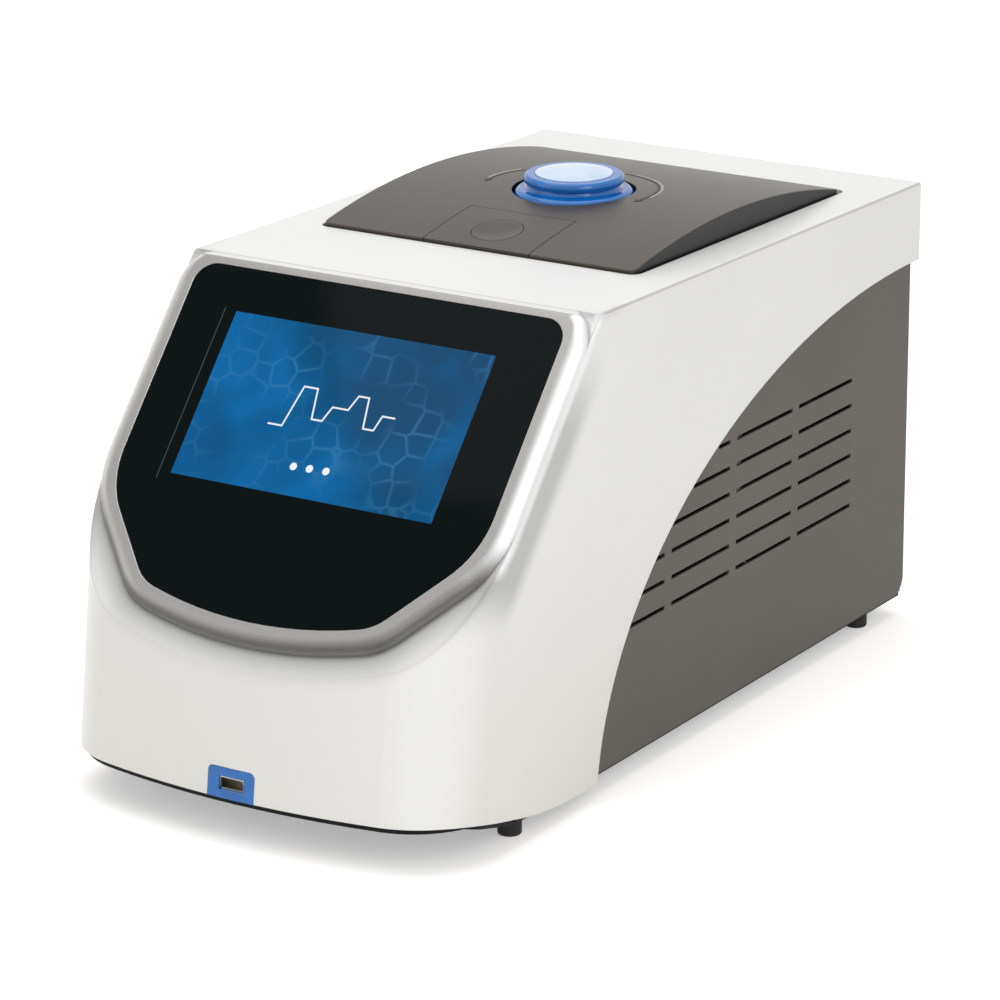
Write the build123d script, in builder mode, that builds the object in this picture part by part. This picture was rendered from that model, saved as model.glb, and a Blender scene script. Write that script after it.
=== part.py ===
"""Bench-top thermal cycler: housing, tilted touch screen, 96-well block and hinged heated lid."""

import os
from math import asin, cos, degrees, radians, sin, sqrt, tan

from build123d import *

os.makedirs("parts", exist_ok=True)

# Housing, in millimetres. X runs across, Y from the nose (-) to the rear (+), Z up from the bench.
body_width = 238.0
body_length = 474.6
shell_wall = 2.4
top_front_z = 247.5
top_rear_z = 242.5
shell_step = 2.6
nose_radius = 420.0
nose_corner = 48.0
nose_lean = 7.1
nose_edge_z = 23.5
skirt_z = 8.5
skirt_run = 85.0
top_edge_round = 1.6
panel_thickness = 1.5
panel_overlap = 8.0
panel_bottom_z = 12.0
panel_rear_gap = 4.9
panel_corner = 10.0
fit_gap = 0.2

# The white shell ends along a quarter ellipse on each side.
sweep_length = 327.4
sweep_height = 207.5
sweep_base_z = -7.4
sweep_rear_offset = 5.3

# Air slots in the side panels.
vent_rows = 6
vent_top_z = 149.2
vent_pitch = 13.9
vent_height = 2.2
vent_length = 58.0
vent_bar = 6.9
vent_rear_gap = 64.0
vent_clear_y = 2.0
vent_clear_z = 6.0

# Touch screen on the slope.
slope_tilt = 40.3
screen_y = -147.1
screen_z = 192.9
screen_shift = 1.5
display_width = 152.4
display_height = 91.4
display_border = 6.5
rim_height = 6.0
rim_round = 5.4
rim_width = 11.0
slope_wall = 5.0
glass_half = 108.0
glass_top_v = 68.0
glass_knee_v = -54.9
glass_low_u = 67.5
glass_low_v = -101.0
glass_bottom_v = -110.9
glass_top_round = 12.0
glass_knee_round = 50.0
glass_low_round = 25.0
glass_thickness = 2.0
glass_recess = 0.4
lcd_depth = 5.6
bracket_sheet = 1.2
board_sheet = 1.6
screen_post_u = 94.0
screen_post_v = 56.0

# Front USB port.
usb_bezel_width = 27.0
usb_bezel_height = 15.2
usb_bezel_round = 3.0
usb_bezel_depth = 10.0
usb_slot_width = 14.4
usb_slot_height = 6.6
usb_slot_rise = 7.4
usb_wall = 0.5
usb_depth = 15.0

# Floor tray, posts and feet.
tray_sheet = 2.0
tray_front_z = 20.5
tray_ramp_rear = -165.0
tray_ramp_front = -203.0
tray_inset = 3.0
foot_x = 105.0
foot_front_y = -153.0
foot_rear_y = 200.0
foot_radius = 6.0
foot_screw_radius = 2.6

# Sample block, cooling stack and deck. The block sits under the knob.
block_y = 76.7
block_width = 124.0
block_depth = 84.0
block_top_z = 218.0
block_height = 20.0
block_flange = 5.0
block_flange_height = 4.0
well_pitch = 9.0
well_columns = 12
well_rows = 8
well_top_radius = 3.1
well_tip_radius = 1.5
well_depth = 14.0
peltier_size = 40.0
peltier_height = 3.6
peltier_bar = 1.0
stack_gap = 0.1
sink_width = 156.0
sink_depth = 110.0
sink_base = 10.0
fin_height = 64.0
fin_thickness = 1.6
fin_count = 19
fin_span = 132.0
post_radius = 3.0
sink_post_inset = 5.0
deck_top_z = 220.0
deck_sheet = 3.5
deck_wall = 3.3
deck_post_x = 90.0
deck_post_front_y = -15.0
deck_post_rear_y = 172.0
gasket_gap = 0.2
gasket_width = 1.3

# Lid, hinged at the rear of the deck.
lid_half = 93.2
lid_front_y = -17.8
lid_rear_y = 193.7
lid_front_z = 248.0
lid_rear_z = 244.5
lid_crest_z = 257.8
lid_bottom_z = 232.0
lid_wall = 2.5
lid_corner = 4.0
lid_gap_side = 1.8
lid_gap_front = 1.8
lid_gap_rear = 4.5
lid_base_sheet = 3.3
lid_base_inset = 1.7
lid_base_rear_y = 187.0
hinge_y = 182.0
hinge_z = 236.0
hinge_x = 60.0
hinge_ear = 6.0
hinge_pin_radius = 2.0
hinge_boss_radius = 4.5
hinge_running_gap = 0.05
hinge_side_gap = 0.3
knuckle_width = 6.7
notch_top_z = 241.2
lid_spring_length = 10.0

# Knob, spindle and heated plate. One turn of the knob lowers the plate by the travel.
knob_hole_radius = 32.4
knob_flange_radius = 30.9
knob_waist_radius = 24.0
knob_rim_radius = 26.2
knob_cap_radius = 20.2
knob_cap_seat = 2.0
knob_cap_edge = 0.4
knob_bottom_z = 252.6
knob_flange_z = 258.3
knob_waist_z = 261.6
knob_rim_z = 266.0
knob_top_z = 269.0
spindle_radius = 5.0
bearing_radius = 11.0
bearing_flange = 14.0
bridge_z = 244.0
bridge_height = 4.0
bridge_depth = 40.0
bridge_leg = 5.0
plate_travel = 6.0
plate_lift = 8.0
plate_width = 118.0
plate_depth = 80.0
plate_height = 5.0
mat_height = 1.0
carrier_height = 4.0
carrier_inset = 4.0
carrier_boss_height = 7.0
guide_x = 45.0
guide_radius = 2.5
running_gap = 0.05

# Lid catch: round button, lever hook and its keeper.
catch_plate_half = 31.7
catch_plate_rear_y = 27.9
catch_line = 0.4
button_y = 2.7
button_radius = 13.25
button_gap = 0.3
button_height = 4.0
button_dish = 1.7
button_lip = 1.0
button_travel = 3.0
button_stem_radius = 2.2
hook_y = -8.0
hook_z = 236.0
hook_width = 10.0
hook_thickness = 2.6
hook_tip_z = 222.5
hook_nose = 1.2
hook_nose_height = 3.0
hook_lever = 13.0
hook_pin_radius = 1.5
keeper_gap = 0.4

# Rear panel and what it carries.
rear_sheet = 1.5
rear_top_z = 206.0
fan_size = 80.0
fan_depth = 25.0
fan_x = 42.0
fan_z = 150.0
fan_bore_radius = 38.0
fan_tip_gap = 0.8
fan_hub_radius = 16.0
fan_blades = 7
fan_twist = 28.0
fan_pin_radius = 1.5
grille_pitch = 6.4
grille_slot = 3.2
inlet_x = -62.0
inlet_z = 67.5
inlet_width = 46.0
inlet_height = 62.0
inlet_depth = 26.0
inlet_flange = 3.0
inlet_flange_sheet = 1.8
socket_width = 24.4
socket_height = 16.6
socket_drop = 17.5
socket_depth = 16.0
pin_spacing = 14.0
drawer_width = 28.0
drawer_height = 11.0
drawer_depth = 18.0
drawer_gap = 0.3
rocker_width = 24.0
rocker_height = 15.0
rocker_rise = 18.0
rocker_tilt = 10.0
rocker_pin_radius = 1.2
data_x = 70.0
data_z = 60.0
data_width = 12.0
data_height = 11.0
data_wall = 1.4
data_depth = 14.0
data_board_width = 30.0
supply_x = -17.0
supply_width = 100.0
supply_length = 150.0
supply_height = 42.0
supply_front_y = 25.0
board_width = 170.0
board_length = 120.0
board_front_y = -150.0
board_rise = 10.0

# Places worked out from the sizes above.
half_width = body_width / 2
nose_y = -body_length / 2
rear_y = body_length / 2
top_edge_y = screen_y + (top_front_z - screen_z) * tan(radians(slope_tilt))
top_fall = (top_front_z - top_rear_z) / (rear_y - top_edge_y)
panel_x = half_width - shell_step
panel_rear_y = rear_y - panel_rear_gap
inner_x = panel_x - panel_thickness - fit_gap
sweep_y = rear_y - sweep_rear_offset
rear_face_y = panel_rear_y
rear_inner_y = rear_face_y - rear_sheet
tray_z = panel_bottom_z - tray_sheet
lid_open_half = lid_half + lid_gap_side
lid_open_front = lid_front_y - lid_gap_front
lid_open_rear = lid_rear_y + lid_gap_rear
block_base_z = block_top_z - block_height
peltier_z = block_base_z - stack_gap - peltier_height
sink_top_z = peltier_z - stack_gap
sink_under_z = sink_top_z - sink_base
plate_z = block_top_z + plate_lift
carrier_z = plate_z + plate_height + mat_height + stack_gap
lid_base_z = lid_bottom_z - fit_gap - lid_base_sheet
lid_base_top = lid_bottom_z - fit_gap
fan_front_y = rear_inner_y - fit_gap - fan_depth
usb_z = nose_edge_z + usb_slot_rise
glass_back = glass_recess + glass_thickness
lcd_front = glass_back + 0.3
lcd_back = lcd_front + lcd_depth
bracket_front = lcd_back + fit_gap
slope = Plane(
    origin=(0, screen_y, screen_z),
    x_dir=(1, 0, 0),
    z_dir=(0, -cos(radians(slope_tilt)), sin(radians(slope_tilt))),
)


def top_z(y):
    """Height of the housing's top face at y."""
    return top_front_z - (y - top_edge_y) * top_fall


def sweep_point_y(z, less_y=0.0, less_z=0.0):
    """Y of the shell's swept edge at height z, drawn in by less_y and less_z."""
    rise = (z - sweep_base_z) / (sweep_height - less_z)
    return sweep_y - (sweep_length - less_y) * sqrt(1 - rise**2)


def plan_outline(inset):
    """Sketch of the bowed nose with rounded corners."""
    nose = nose_y + inset - nose_edge_z * tan(radians(nose_lean))
    side = half_width - inset
    sag = nose_radius - sqrt(nose_radius**2 - side**2)
    with BuildSketch() as outline:
        with BuildLine():
            bow = ThreePointArc((-side, nose + sag), (0, nose), (side, nose + sag))
            Polyline(bow @ 1, (side, rear_y + 80), (-side, rear_y + 80), bow @ 0)
        make_face()
        fillet(outline.vertices().group_by(Axis.Y)[0], nose_corner - inset)
    return outline.sketch


def hull(inset, slope_drop, bottom_z=0.0):
    """Solid housing form, its walls moved in by inset and its slope dropped by slope_drop."""
    lean = radians(nose_lean)
    with BuildPart() as form:
        with BuildSketch(Plane.XY):
            add(plan_outline(inset))
        extrude(amount=300 / cos(lean), dir=(0, sin(lean), cos(lean)))
        fall = slope_drop / cos(radians(slope_tilt))
        front = screen_y + fall
        with BuildSketch(Plane.YZ):
            with BuildLine():
                edge_z = top_front_z - inset
                edge_y = front + (edge_z - screen_z) * tan(radians(slope_tilt))
                low_y = front + (bottom_z - screen_z) * tan(radians(slope_tilt))
                Polyline(
                    (edge_y, edge_z),
                    (rear_y - inset, top_rear_z - inset),
                    (rear_y - inset, bottom_z),
                    (low_y, bottom_z),
                    close=True,
                )
            make_face()
        extrude(amount=half_width - inset, both=True, mode=Mode.INTERSECT)
    return form.part


def glass_outline():
    """Sketch of the shield-shaped glass, in the slope's own coordinates."""
    with BuildSketch() as outline:
        with BuildLine():
            low = ThreePointArc(
                (-glass_low_u, glass_low_v), (0, glass_bottom_v), (glass_low_u, glass_low_v)
            )
            Polyline(
                low @ 1,
                (glass_half, glass_knee_v),
                (glass_half, glass_top_v),
                (-glass_half, glass_top_v),
                (-glass_half, glass_knee_v),
                low @ 0,
            )
        make_face()
        corners = outline.vertices()
        tops = corners.filter_by_position(Axis.Y, glass_top_v - 1, glass_top_v + 1)
        fillet(tops, glass_top_round)
        knees = outline.vertices().filter_by_position(Axis.Y, glass_knee_v - 1, glass_knee_v + 1)
        fillet(knees, glass_knee_round)
        lows = outline.vertices().filter_by_position(Axis.Y, glass_low_v - 1, glass_low_v + 1)
        fillet(lows, glass_low_round)
    return outline.sketch


def rim_form(inset, drop, depth):
    """Raised shield around the glass, its sides moved in by inset and its face down by drop."""
    with BuildPart() as form:
        with BuildSketch(slope.offset(-drop)):
            add(glass_outline())
            offset(amount=rim_width - inset, kind=Kind.ARC)
        extrude(amount=-depth)
        if rim_round > inset:
            face = faces().sort_by(Axis(slope.origin, slope.z_dir))[-1]
            fillet(face.edges(), rim_round - inset)
        with BuildSketch(Plane.YZ):
            with BuildLine():
                front_y = screen_y - 200
                Polyline(
                    (front_y, top_z(front_y) - inset),
                    (rear_y, top_rear_z - inset),
                    (rear_y, 0),
                    (front_y, 0),
                    close=True,
                )
            make_face()
        extrude(amount=body_width, both=True, mode=Mode.INTERSECT)
    return form.part


def swept_side(less_y, less_z, low_z, beyond_y):
    """Sketch of the region under the swept edge, from low_z up and as far back as beyond_y."""
    peak_z = sweep_base_z + sweep_height - less_z
    low_angle = 180 - degrees(asin((low_z - sweep_base_z) / (sweep_height - less_z)))
    with BuildSketch() as region:
        with BuildLine():
            edge = EllipticalCenterArc(
                (sweep_y, sweep_base_z),
                sweep_length - less_y,
                sweep_height - less_z,
                start_angle=90,
                arc_size=low_angle - 90,
            )
            Polyline(edge @ 0, (beyond_y, peak_z), (beyond_y, low_z), edge @ 1)
        make_face()
    return region.sketch


# Upper shell: one moulding for the top, nose, swept sides and rear band.
with BuildPart() as upper_shell:
    add(hull(0, rim_height))
    add(rim_form(0, 0, 40))
    top_sides = edges().filter_by(lambda e: e.length > 250 and abs(e.center().X) > half_width - 0.1)
    fillet(top_sides.sort_by(Axis.Z)[-2:], top_edge_round)
    add(hull(shell_wall, rim_height + shell_wall, -40), mode=Mode.SUBTRACT)
    add(rim_form(shell_wall, slope_wall, 34), mode=Mode.SUBTRACT)
    with BuildSketch(Plane.YZ):
        add(swept_side(0, 0, sweep_base_z + 1, rear_y + 40))
    extrude(amount=body_width, both=True, mode=Mode.SUBTRACT)
    with BuildSketch(Plane.YZ):
        with BuildLine():
            ramp = Spline(
                (sweep_y - sweep_length + 15, skirt_z),
                (nose_y + skirt_run, skirt_z + 3.5),
                (nose_y + skirt_run / 2, nose_edge_z - 2.5),
                (nose_y - 30, nose_edge_z),
                tangents=((-1, 0), (-1, 0)),
            )
            Polyline(ramp @ 1, (nose_y - 30, -50), (rear_y, -50), (rear_y, skirt_z), ramp @ 0)
        make_face()
    extrude(amount=body_width, both=True, mode=Mode.SUBTRACT)
    with BuildSketch(Plane.XY.offset(top_front_z + 20)):
        with Locations((0, (lid_open_front + lid_open_rear) / 2)):
            RectangleRounded(2 * lid_open_half, lid_open_rear - lid_open_front, lid_corner + lid_gap_side)
    extrude(amount=-60, mode=Mode.SUBTRACT)
    with BuildSketch(slope):
        add(glass_outline())
        offset(amount=fit_gap)
    extrude(amount=-glass_back - fit_gap, mode=Mode.SUBTRACT)
    with BuildSketch(slope):
        with Locations((screen_shift, 0)):
            Rectangle(
                display_width + 2 * display_border + 2 * fit_gap,
                display_height + 2 * display_border + 2 * fit_gap,
            )
    extrude(amount=-rim_height - slope_wall, mode=Mode.SUBTRACT)
    with BuildSketch(Plane.XZ.offset(-nose_y + 20)):
        with Locations((0, nose_edge_z + usb_bezel_height / 2)):
            RectangleRounded(
                usb_bezel_width + 2 * fit_gap, usb_bezel_height + 2 * fit_gap, usb_bezel_round
            )
        with Locations((0, nose_edge_z)):
            Rectangle(usb_bezel_width + 2 * fit_gap, usb_bezel_height)
    extrude(amount=-40, mode=Mode.SUBTRACT)
upper_shell.part.label = "upper_shell"
export_step(upper_shell.part, "parts/upper_shell.step")


def side_panel(side, name):
    """Slotted sheet below the swept edge; side is 1 on the right and -1 on the left."""
    outer = side * panel_x
    with BuildPart() as panel:
        with BuildSketch(Plane.YZ.offset(outer)):
            add(swept_side(-panel_overlap, -panel_overlap, panel_bottom_z, panel_rear_y))
            rear_low = (
                vertices()
                .filter_by_position(Axis.Y, panel_bottom_z - 1, panel_bottom_z + 1)
                .sort_by(Axis.X)[-1]
            )
            fillet(rear_low, panel_corner)
        extrude(amount=-side * panel_thickness)
        with BuildSketch(Plane.YZ.offset(outer)):
            for row in range(vent_rows):
                row_z = vent_top_z - row * vent_pitch
                start = sweep_point_y(row_z, vent_clear_y, vent_clear_z)
                end = panel_rear_y - vent_rear_gap
                while end - start > vent_bar:
                    slot_start = max(start, end - vent_length)
                    with Locations(((slot_start + end) / 2, row_z)):
                        Rectangle(end - slot_start, vent_height)
                    end = slot_start - vent_bar
        extrude(amount=-side * panel_thickness * 2, both=True, mode=Mode.SUBTRACT)
    panel.part.label = name
    export_step(panel.part, f"parts/{name}.step")


side_panel(-1, "side_panel_left")
side_panel(1, "side_panel_right")


# Floor tray: folded sheet that rises under the nose and shows as a dark line below the shell.
with BuildPart() as base_tray:
    with BuildSketch(Plane.XY):
        add(plan_outline(tray_inset))
    lean = radians(nose_lean)
    extrude(amount=panel_bottom_z + tray_front_z, dir=(0, sin(lean), cos(lean)))
    with BuildSketch(Plane.YZ):
        with BuildLine():
            tray_rear = rear_inner_y - fit_gap
            Polyline(
                (tray_rear, tray_z),
                (tray_ramp_rear, tray_z),
                (tray_ramp_front, tray_front_z),
                (nose_y - 20, tray_front_z),
                (nose_y - 20, tray_front_z + tray_sheet),
                (tray_ramp_front, tray_front_z + tray_sheet),
                (tray_ramp_rear, tray_z + tray_sheet),
                (tray_rear, tray_z + tray_sheet),
                close=True,
            )
        make_face()
    extrude(amount=inner_x, both=True, mode=Mode.INTERSECT)
    with Locations(*[Pos(sx * foot_x, fy, tray_z) for sx in (-1, 1) for fy in (foot_front_y, foot_rear_y)]):
        Hole(foot_screw_radius + fit_gap)
base_tray.part.label = "base_tray"
export_step(base_tray.part, "parts/base_tray.step")

foot_places = [(sx * foot_x, fy) for sx in (-1, 1) for fy in (foot_front_y, foot_rear_y)]
foot_height = tray_z - 0.05

# Rubber feet: turned buttons with a counterbored screw seat underneath.
with BuildPart() as feet:
    with Locations(*foot_places):
        Cylinder(foot_radius, foot_height, align=(Align.CENTER, Align.CENTER, Align.MIN))
    low_rims = edges().filter_by(GeomType.CIRCLE).group_by(Axis.Z)[0]
    fillet(low_rims, 1.2)
    with BuildSketch(Plane.XY):
        with Locations(*foot_places):
            Circle(foot_screw_radius * 1.5)
    extrude(amount=foot_height * 0.4, mode=Mode.SUBTRACT)
    with BuildSketch(Plane.XY):
        with Locations(*foot_places):
            Circle(foot_screw_radius * 0.6 + fit_gap)
    extrude(amount=foot_height, mode=Mode.SUBTRACT)
feet.part.label = "feet"
export_step(feet.part, "parts/feet.step")

# Foot screws, their heads up in the counterbores.
with BuildPart() as foot_screws:
    head_z = foot_height * 0.4
    with BuildSketch(Plane.XY.offset(head_z - 2.0)):
        with Locations(*foot_places):
            Circle(foot_screw_radius)
    extrude(amount=2.0)
    with BuildSketch(Plane.XY.offset(head_z)):
        with Locations(*foot_places):
            Circle(foot_screw_radius * 0.6)
    extrude(amount=tray_z + tray_sheet + 2.0 - head_z)
foot_screws.part.label = "foot_screws"
export_step(foot_screws.part, "parts/foot_screws.step")


# Touch glass, let into the slope inside the raised rim.
with BuildPart() as touch_glass:
    with BuildSketch(slope.offset(-glass_recess)):
        add(glass_outline())
    extrude(amount=-glass_thickness)
touch_glass.part.label = "touch_glass"
export_step(touch_glass.part, "parts/touch_glass.step")

lcd_width = display_width + 2 * display_border
lcd_height = display_height + 2 * display_border

# Display module behind the glass, with its folded tin back.
with BuildPart() as lcd_module:
    with BuildSketch(slope.offset(-lcd_front)):
        with Locations((screen_shift, 0)):
            Rectangle(lcd_width, lcd_height)
    extrude(amount=-lcd_depth)
    with BuildSketch(slope.offset(-lcd_front)):
        with Locations((screen_shift, 0)):
            Rectangle(display_width, display_height)
    extrude(amount=-0.4, mode=Mode.SUBTRACT)
lcd_module.part.label = "lcd_module"
export_step(lcd_module.part, "parts/lcd_module.step")

screen_posts = [(su * screen_post_u, sv * screen_post_v) for su in (-1, 1) for sv in (-1, 1)]
board_posts = [(su * lcd_width * 0.42, sv * lcd_height * 0.4) for su in (-1, 1) for sv in (-1, 1)]
board_front = bracket_front + bracket_sheet + 4.0

# Sheet bracket that holds the display against the slope, with posts front and back.
with BuildPart() as display_bracket:
    with BuildSketch(slope.offset(-bracket_front)):
        RectangleRounded(2 * screen_post_u + 12, 2 * screen_post_v + 12, 6)
        with Locations((screen_shift, 0)):
            Rectangle(lcd_width * 0.5, lcd_height * 0.4, mode=Mode.SUBTRACT)
    extrude(amount=-bracket_sheet)
    with BuildSketch(slope.offset(-bracket_front)):
        with Locations(*screen_posts):
            Circle(3.0)
    extrude(amount=bracket_front - slope_wall - stack_gap)
    with BuildSketch(slope.offset(-bracket_front - bracket_sheet)):
        with Locations(*board_posts):
            Circle(2.4)
    extrude(amount=-4.0 + stack_gap)
display_bracket.part.label = "display_bracket"
export_step(display_bracket.part, "parts/display_bracket.step")

# Control board behind the display, with its chips and sockets.
with BuildPart() as control_board:
    with BuildSketch(slope.offset(-board_front)):
        Rectangle(lcd_width * 0.92, lcd_height * 0.9)
    extrude(amount=-board_sheet)
    with BuildSketch(slope.offset(-board_front - board_sheet)):
        with Locations((-30, 8)):
            Rectangle(28, 28)
        with Locations((20, 22), (20, 4)):
            Rectangle(18, 12)
    extrude(amount=-2.0)
    with BuildSketch(slope.offset(-board_front - board_sheet)):
        with Locations((0, -36), (48, -36), (-48, -36)):
            Rectangle(30, 8)
    extrude(amount=-9.0)
control_board.part.label = "control_board"
export_step(control_board.part, "parts/control_board.step")


# Blue bezel of the front port, cut to the nose's own surface.
with BuildPart() as usb_bezel:
    add(hull(fit_gap, rim_height))
    bezel_rear = nose_y + usb_bezel_depth
    with BuildSketch(Plane.XZ.offset(-bezel_rear)):
        with BuildLine():
            half = usb_bezel_width / 2
            rise = nose_edge_z + usb_bezel_height
            Polyline((-half, nose_edge_z), (half, nose_edge_z), (half, rise), (-half, rise), close=True)
        make_face()
        fillet(vertices().group_by(Axis.Y)[-1], usb_bezel_round)
    extrude(amount=30, mode=Mode.INTERSECT)
    with BuildSketch(Plane.XZ.offset(-bezel_rear - 1)):
        with Locations((0, usb_z)):
            Rectangle(usb_slot_width, usb_slot_height)
    extrude(amount=40, mode=Mode.SUBTRACT)
usb_bezel.part.label = "usb_bezel"
export_step(usb_bezel.part, "parts/usb_bezel.step")

usb_front_y = nose_y + 2.2

# Metal socket in the bezel, open at the front.
with BuildPart() as usb_socket:
    with BuildSketch(Plane.XZ.offset(-usb_front_y)):
        with Locations((0, usb_z)):
            Rectangle(usb_slot_width - 2 * fit_gap, usb_slot_height - 2 * fit_gap)
    extrude(amount=-usb_depth)
    with BuildSketch(Plane.XZ.offset(-usb_front_y)):
        with Locations((0, usb_z)):
            Rectangle(
                usb_slot_width - 2 * fit_gap - 2 * usb_wall,
                usb_slot_height - 2 * fit_gap - 2 * usb_wall,
            )
    extrude(amount=-usb_depth + 1.2, mode=Mode.SUBTRACT)
usb_socket.part.label = "usb_socket"
export_step(usb_socket.part, "parts/usb_socket.step")

usb_board_z = usb_z - usb_slot_height / 2 + fit_gap - stack_gap - board_sheet
tray_front_top = tray_front_z + tray_sheet

# Small board under the socket, on two pillars from the tray.
with BuildPart() as usb_board:
    usb_board_y = nose_y + usb_bezel_depth + 1 + 14
    with BuildSketch(Plane.XY.offset(usb_board_z)):
        with Locations((0, usb_board_y - 1)):
            Rectangle(24, 26)
    extrude(amount=board_sheet)
    with BuildSketch(Plane.XY.offset(tray_front_top + stack_gap)):
        with Locations((-8, usb_board_y + 2), (8, usb_board_y + 2)):
            Circle(2.2)
    extrude(amount=usb_board_z - tray_front_top - stack_gap)
usb_board.part.label = "usb_board"
export_step(usb_board.part, "parts/usb_board.step")


# Deck: the well that the lid closes into, with the block's window and hinge seats.
deck_half = lid_open_half + deck_wall
deck_front = lid_open_front - deck_wall
deck_rear = lid_open_rear + deck_wall
deck_middle = (deck_front + deck_rear) / 2
deck_rim_z = top_z(deck_rear) - shell_wall - fit_gap
window_width = block_width + 2 * gasket_gap + 2 * gasket_width + 2 * fit_gap
window_depth = block_depth + 2 * gasket_gap + 2 * gasket_width + 2 * fit_gap
with BuildPart() as block_deck:
    with BuildSketch(Plane.XY.offset(deck_top_z - deck_sheet)):
        with Locations((0, deck_middle)):
            RectangleRounded(2 * deck_half, deck_rear - deck_front, lid_corner + lid_gap_side + deck_wall)
    extrude(amount=deck_rim_z - deck_top_z + deck_sheet)
    with BuildSketch(Plane.XY.offset(deck_top_z)):
        with Locations((0, deck_middle)):
            RectangleRounded(
                2 * lid_open_half, lid_open_rear - lid_open_front, lid_corner + lid_gap_side
            )
    extrude(amount=deck_rim_z, mode=Mode.SUBTRACT)
    with BuildSketch(Plane.XY.offset(deck_top_z)):
        with Locations((0, block_y)):
            Rectangle(window_width, window_depth)
    extrude(amount=-deck_sheet, mode=Mode.SUBTRACT)
block_deck.part.label = "block_deck"
export_step(block_deck.part, "parts/block_deck.step")

# Silicone gasket between the block and the deck's window.
with BuildPart() as block_gasket:
    with BuildSketch(Plane.XY.offset(deck_top_z - deck_sheet)):
        with Locations((0, block_y)):
            Rectangle(window_width - 2 * fit_gap, window_depth - 2 * fit_gap)
            Rectangle(block_width + 2 * gasket_gap, block_depth + 2 * gasket_gap, mode=Mode.SUBTRACT)
    extrude(amount=deck_sheet - 0.5)
block_gasket.part.label = "block_gasket"
export_step(block_gasket.part, "parts/block_gasket.step")

# Sample block: machined plate with 8 by 12 tapered wells.
with BuildPart() as sample_block:
    with BuildSketch(Plane.XY.offset(block_base_z)):
        with Locations((0, block_y)):
            Rectangle(block_width, block_depth)
    extrude(amount=block_height)
    with BuildSketch(Plane.XY.offset(block_base_z)):
        with Locations((0, block_y)):
            Rectangle(block_width + 2 * block_flange, block_depth + 2 * block_flange)
    extrude(amount=block_flange_height)
    with Locations((0, block_y, block_top_z - well_depth / 2)):
        with GridLocations(well_pitch, well_pitch, well_columns, well_rows):
            Cone(well_tip_radius, well_top_radius, well_depth, mode=Mode.SUBTRACT)
sample_block.part.label = "sample_block"
export_step(sample_block.part, "parts/sample_block.step")

# Six thermoelectric modules in one layer.
with BuildPart() as peltier_modules:
    with BuildSketch(Plane.XY.offset(peltier_z)):
        with Locations((0, block_y)):
            with GridLocations(peltier_size + peltier_bar, peltier_size + peltier_bar, 3, 2):
                Rectangle(peltier_size, peltier_size)
    extrude(amount=peltier_height)
peltier_modules.part.label = "peltier_modules"
export_step(peltier_modules.part, "parts/peltier_modules.step")

# Heat sink: base plate with fins hanging along the air flow.
with BuildPart() as heat_sink:
    with BuildSketch(Plane.XY.offset(sink_under_z)):
        with Locations((0, block_y)):
            Rectangle(sink_width, sink_depth)
    extrude(amount=sink_base)
    with BuildSketch(Plane.XY.offset(sink_under_z)):
        with Locations((0, block_y)):
            with GridLocations((fin_span - fin_thickness) / (fin_count - 1), 1, fin_count, 1):
                Rectangle(fin_thickness, sink_depth)
    extrude(amount=-fin_height)
heat_sink.part.label = "heat_sink"
export_step(heat_sink.part, "parts/heat_sink.step")

sink_post_x = sink_width / 2 - sink_post_inset
sink_post_y = sink_depth / 2 - 2 * sink_post_inset
sink_posts = [(sx * sink_post_x, block_y + sy * sink_post_y) for sx in (-1, 1) for sy in (-1, 1)]
deck_posts = [(sx * deck_post_x, py) for sx in (-1, 1) for py in (deck_post_front_y, deck_post_rear_y)]

# Posts from the tray to the heat sink and to the deck.
with BuildPart() as chassis_posts:
    with BuildSketch(Plane.XY.offset(tray_z + tray_sheet)):
        with Locations(*sink_posts):
            RegularPolygon(post_radius, 6)
    extrude(amount=sink_under_z - stack_gap - tray_z - tray_sheet)
    with BuildSketch(Plane.XY.offset(tray_z + tray_sheet)):
        with Locations(*deck_posts):
            RegularPolygon(post_radius * 1.4, 6)
    extrude(amount=deck_top_z - deck_sheet - stack_gap - tray_z - tray_sheet)
chassis_posts.part.label = "chassis_posts"
export_step(chassis_posts.part, "parts/chassis_posts.step")

duct_front_y = block_y + sink_depth / 2 + 0.3
duct_rear_y = fan_front_y - 0.3
duct_sheet = 1.2

# Air duct from the fins to the fans, lofted from one opening to the other.
with BuildPart() as air_duct:
    fin_middle_z = sink_under_z - fin_height / 2
    for grow, how in ((duct_sheet, Mode.ADD), (0, Mode.SUBTRACT)):
        with BuildSketch(Plane.XZ.offset(-duct_front_y)):
            with Locations((0, fin_middle_z)):
                Rectangle(fin_span + 2 * grow + 6, fin_height + 2 * grow + 2)
        with BuildSketch(Plane.XZ.offset(-duct_rear_y)):
            with Locations((0, fan_z)):
                Rectangle(2 * fan_x + fan_size - 4 + 2 * grow, fan_size - 4 + 2 * grow)
        loft(mode=how)
air_duct.part.label = "air_duct"
export_step(air_duct.part, "parts/air_duct.step")


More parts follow.
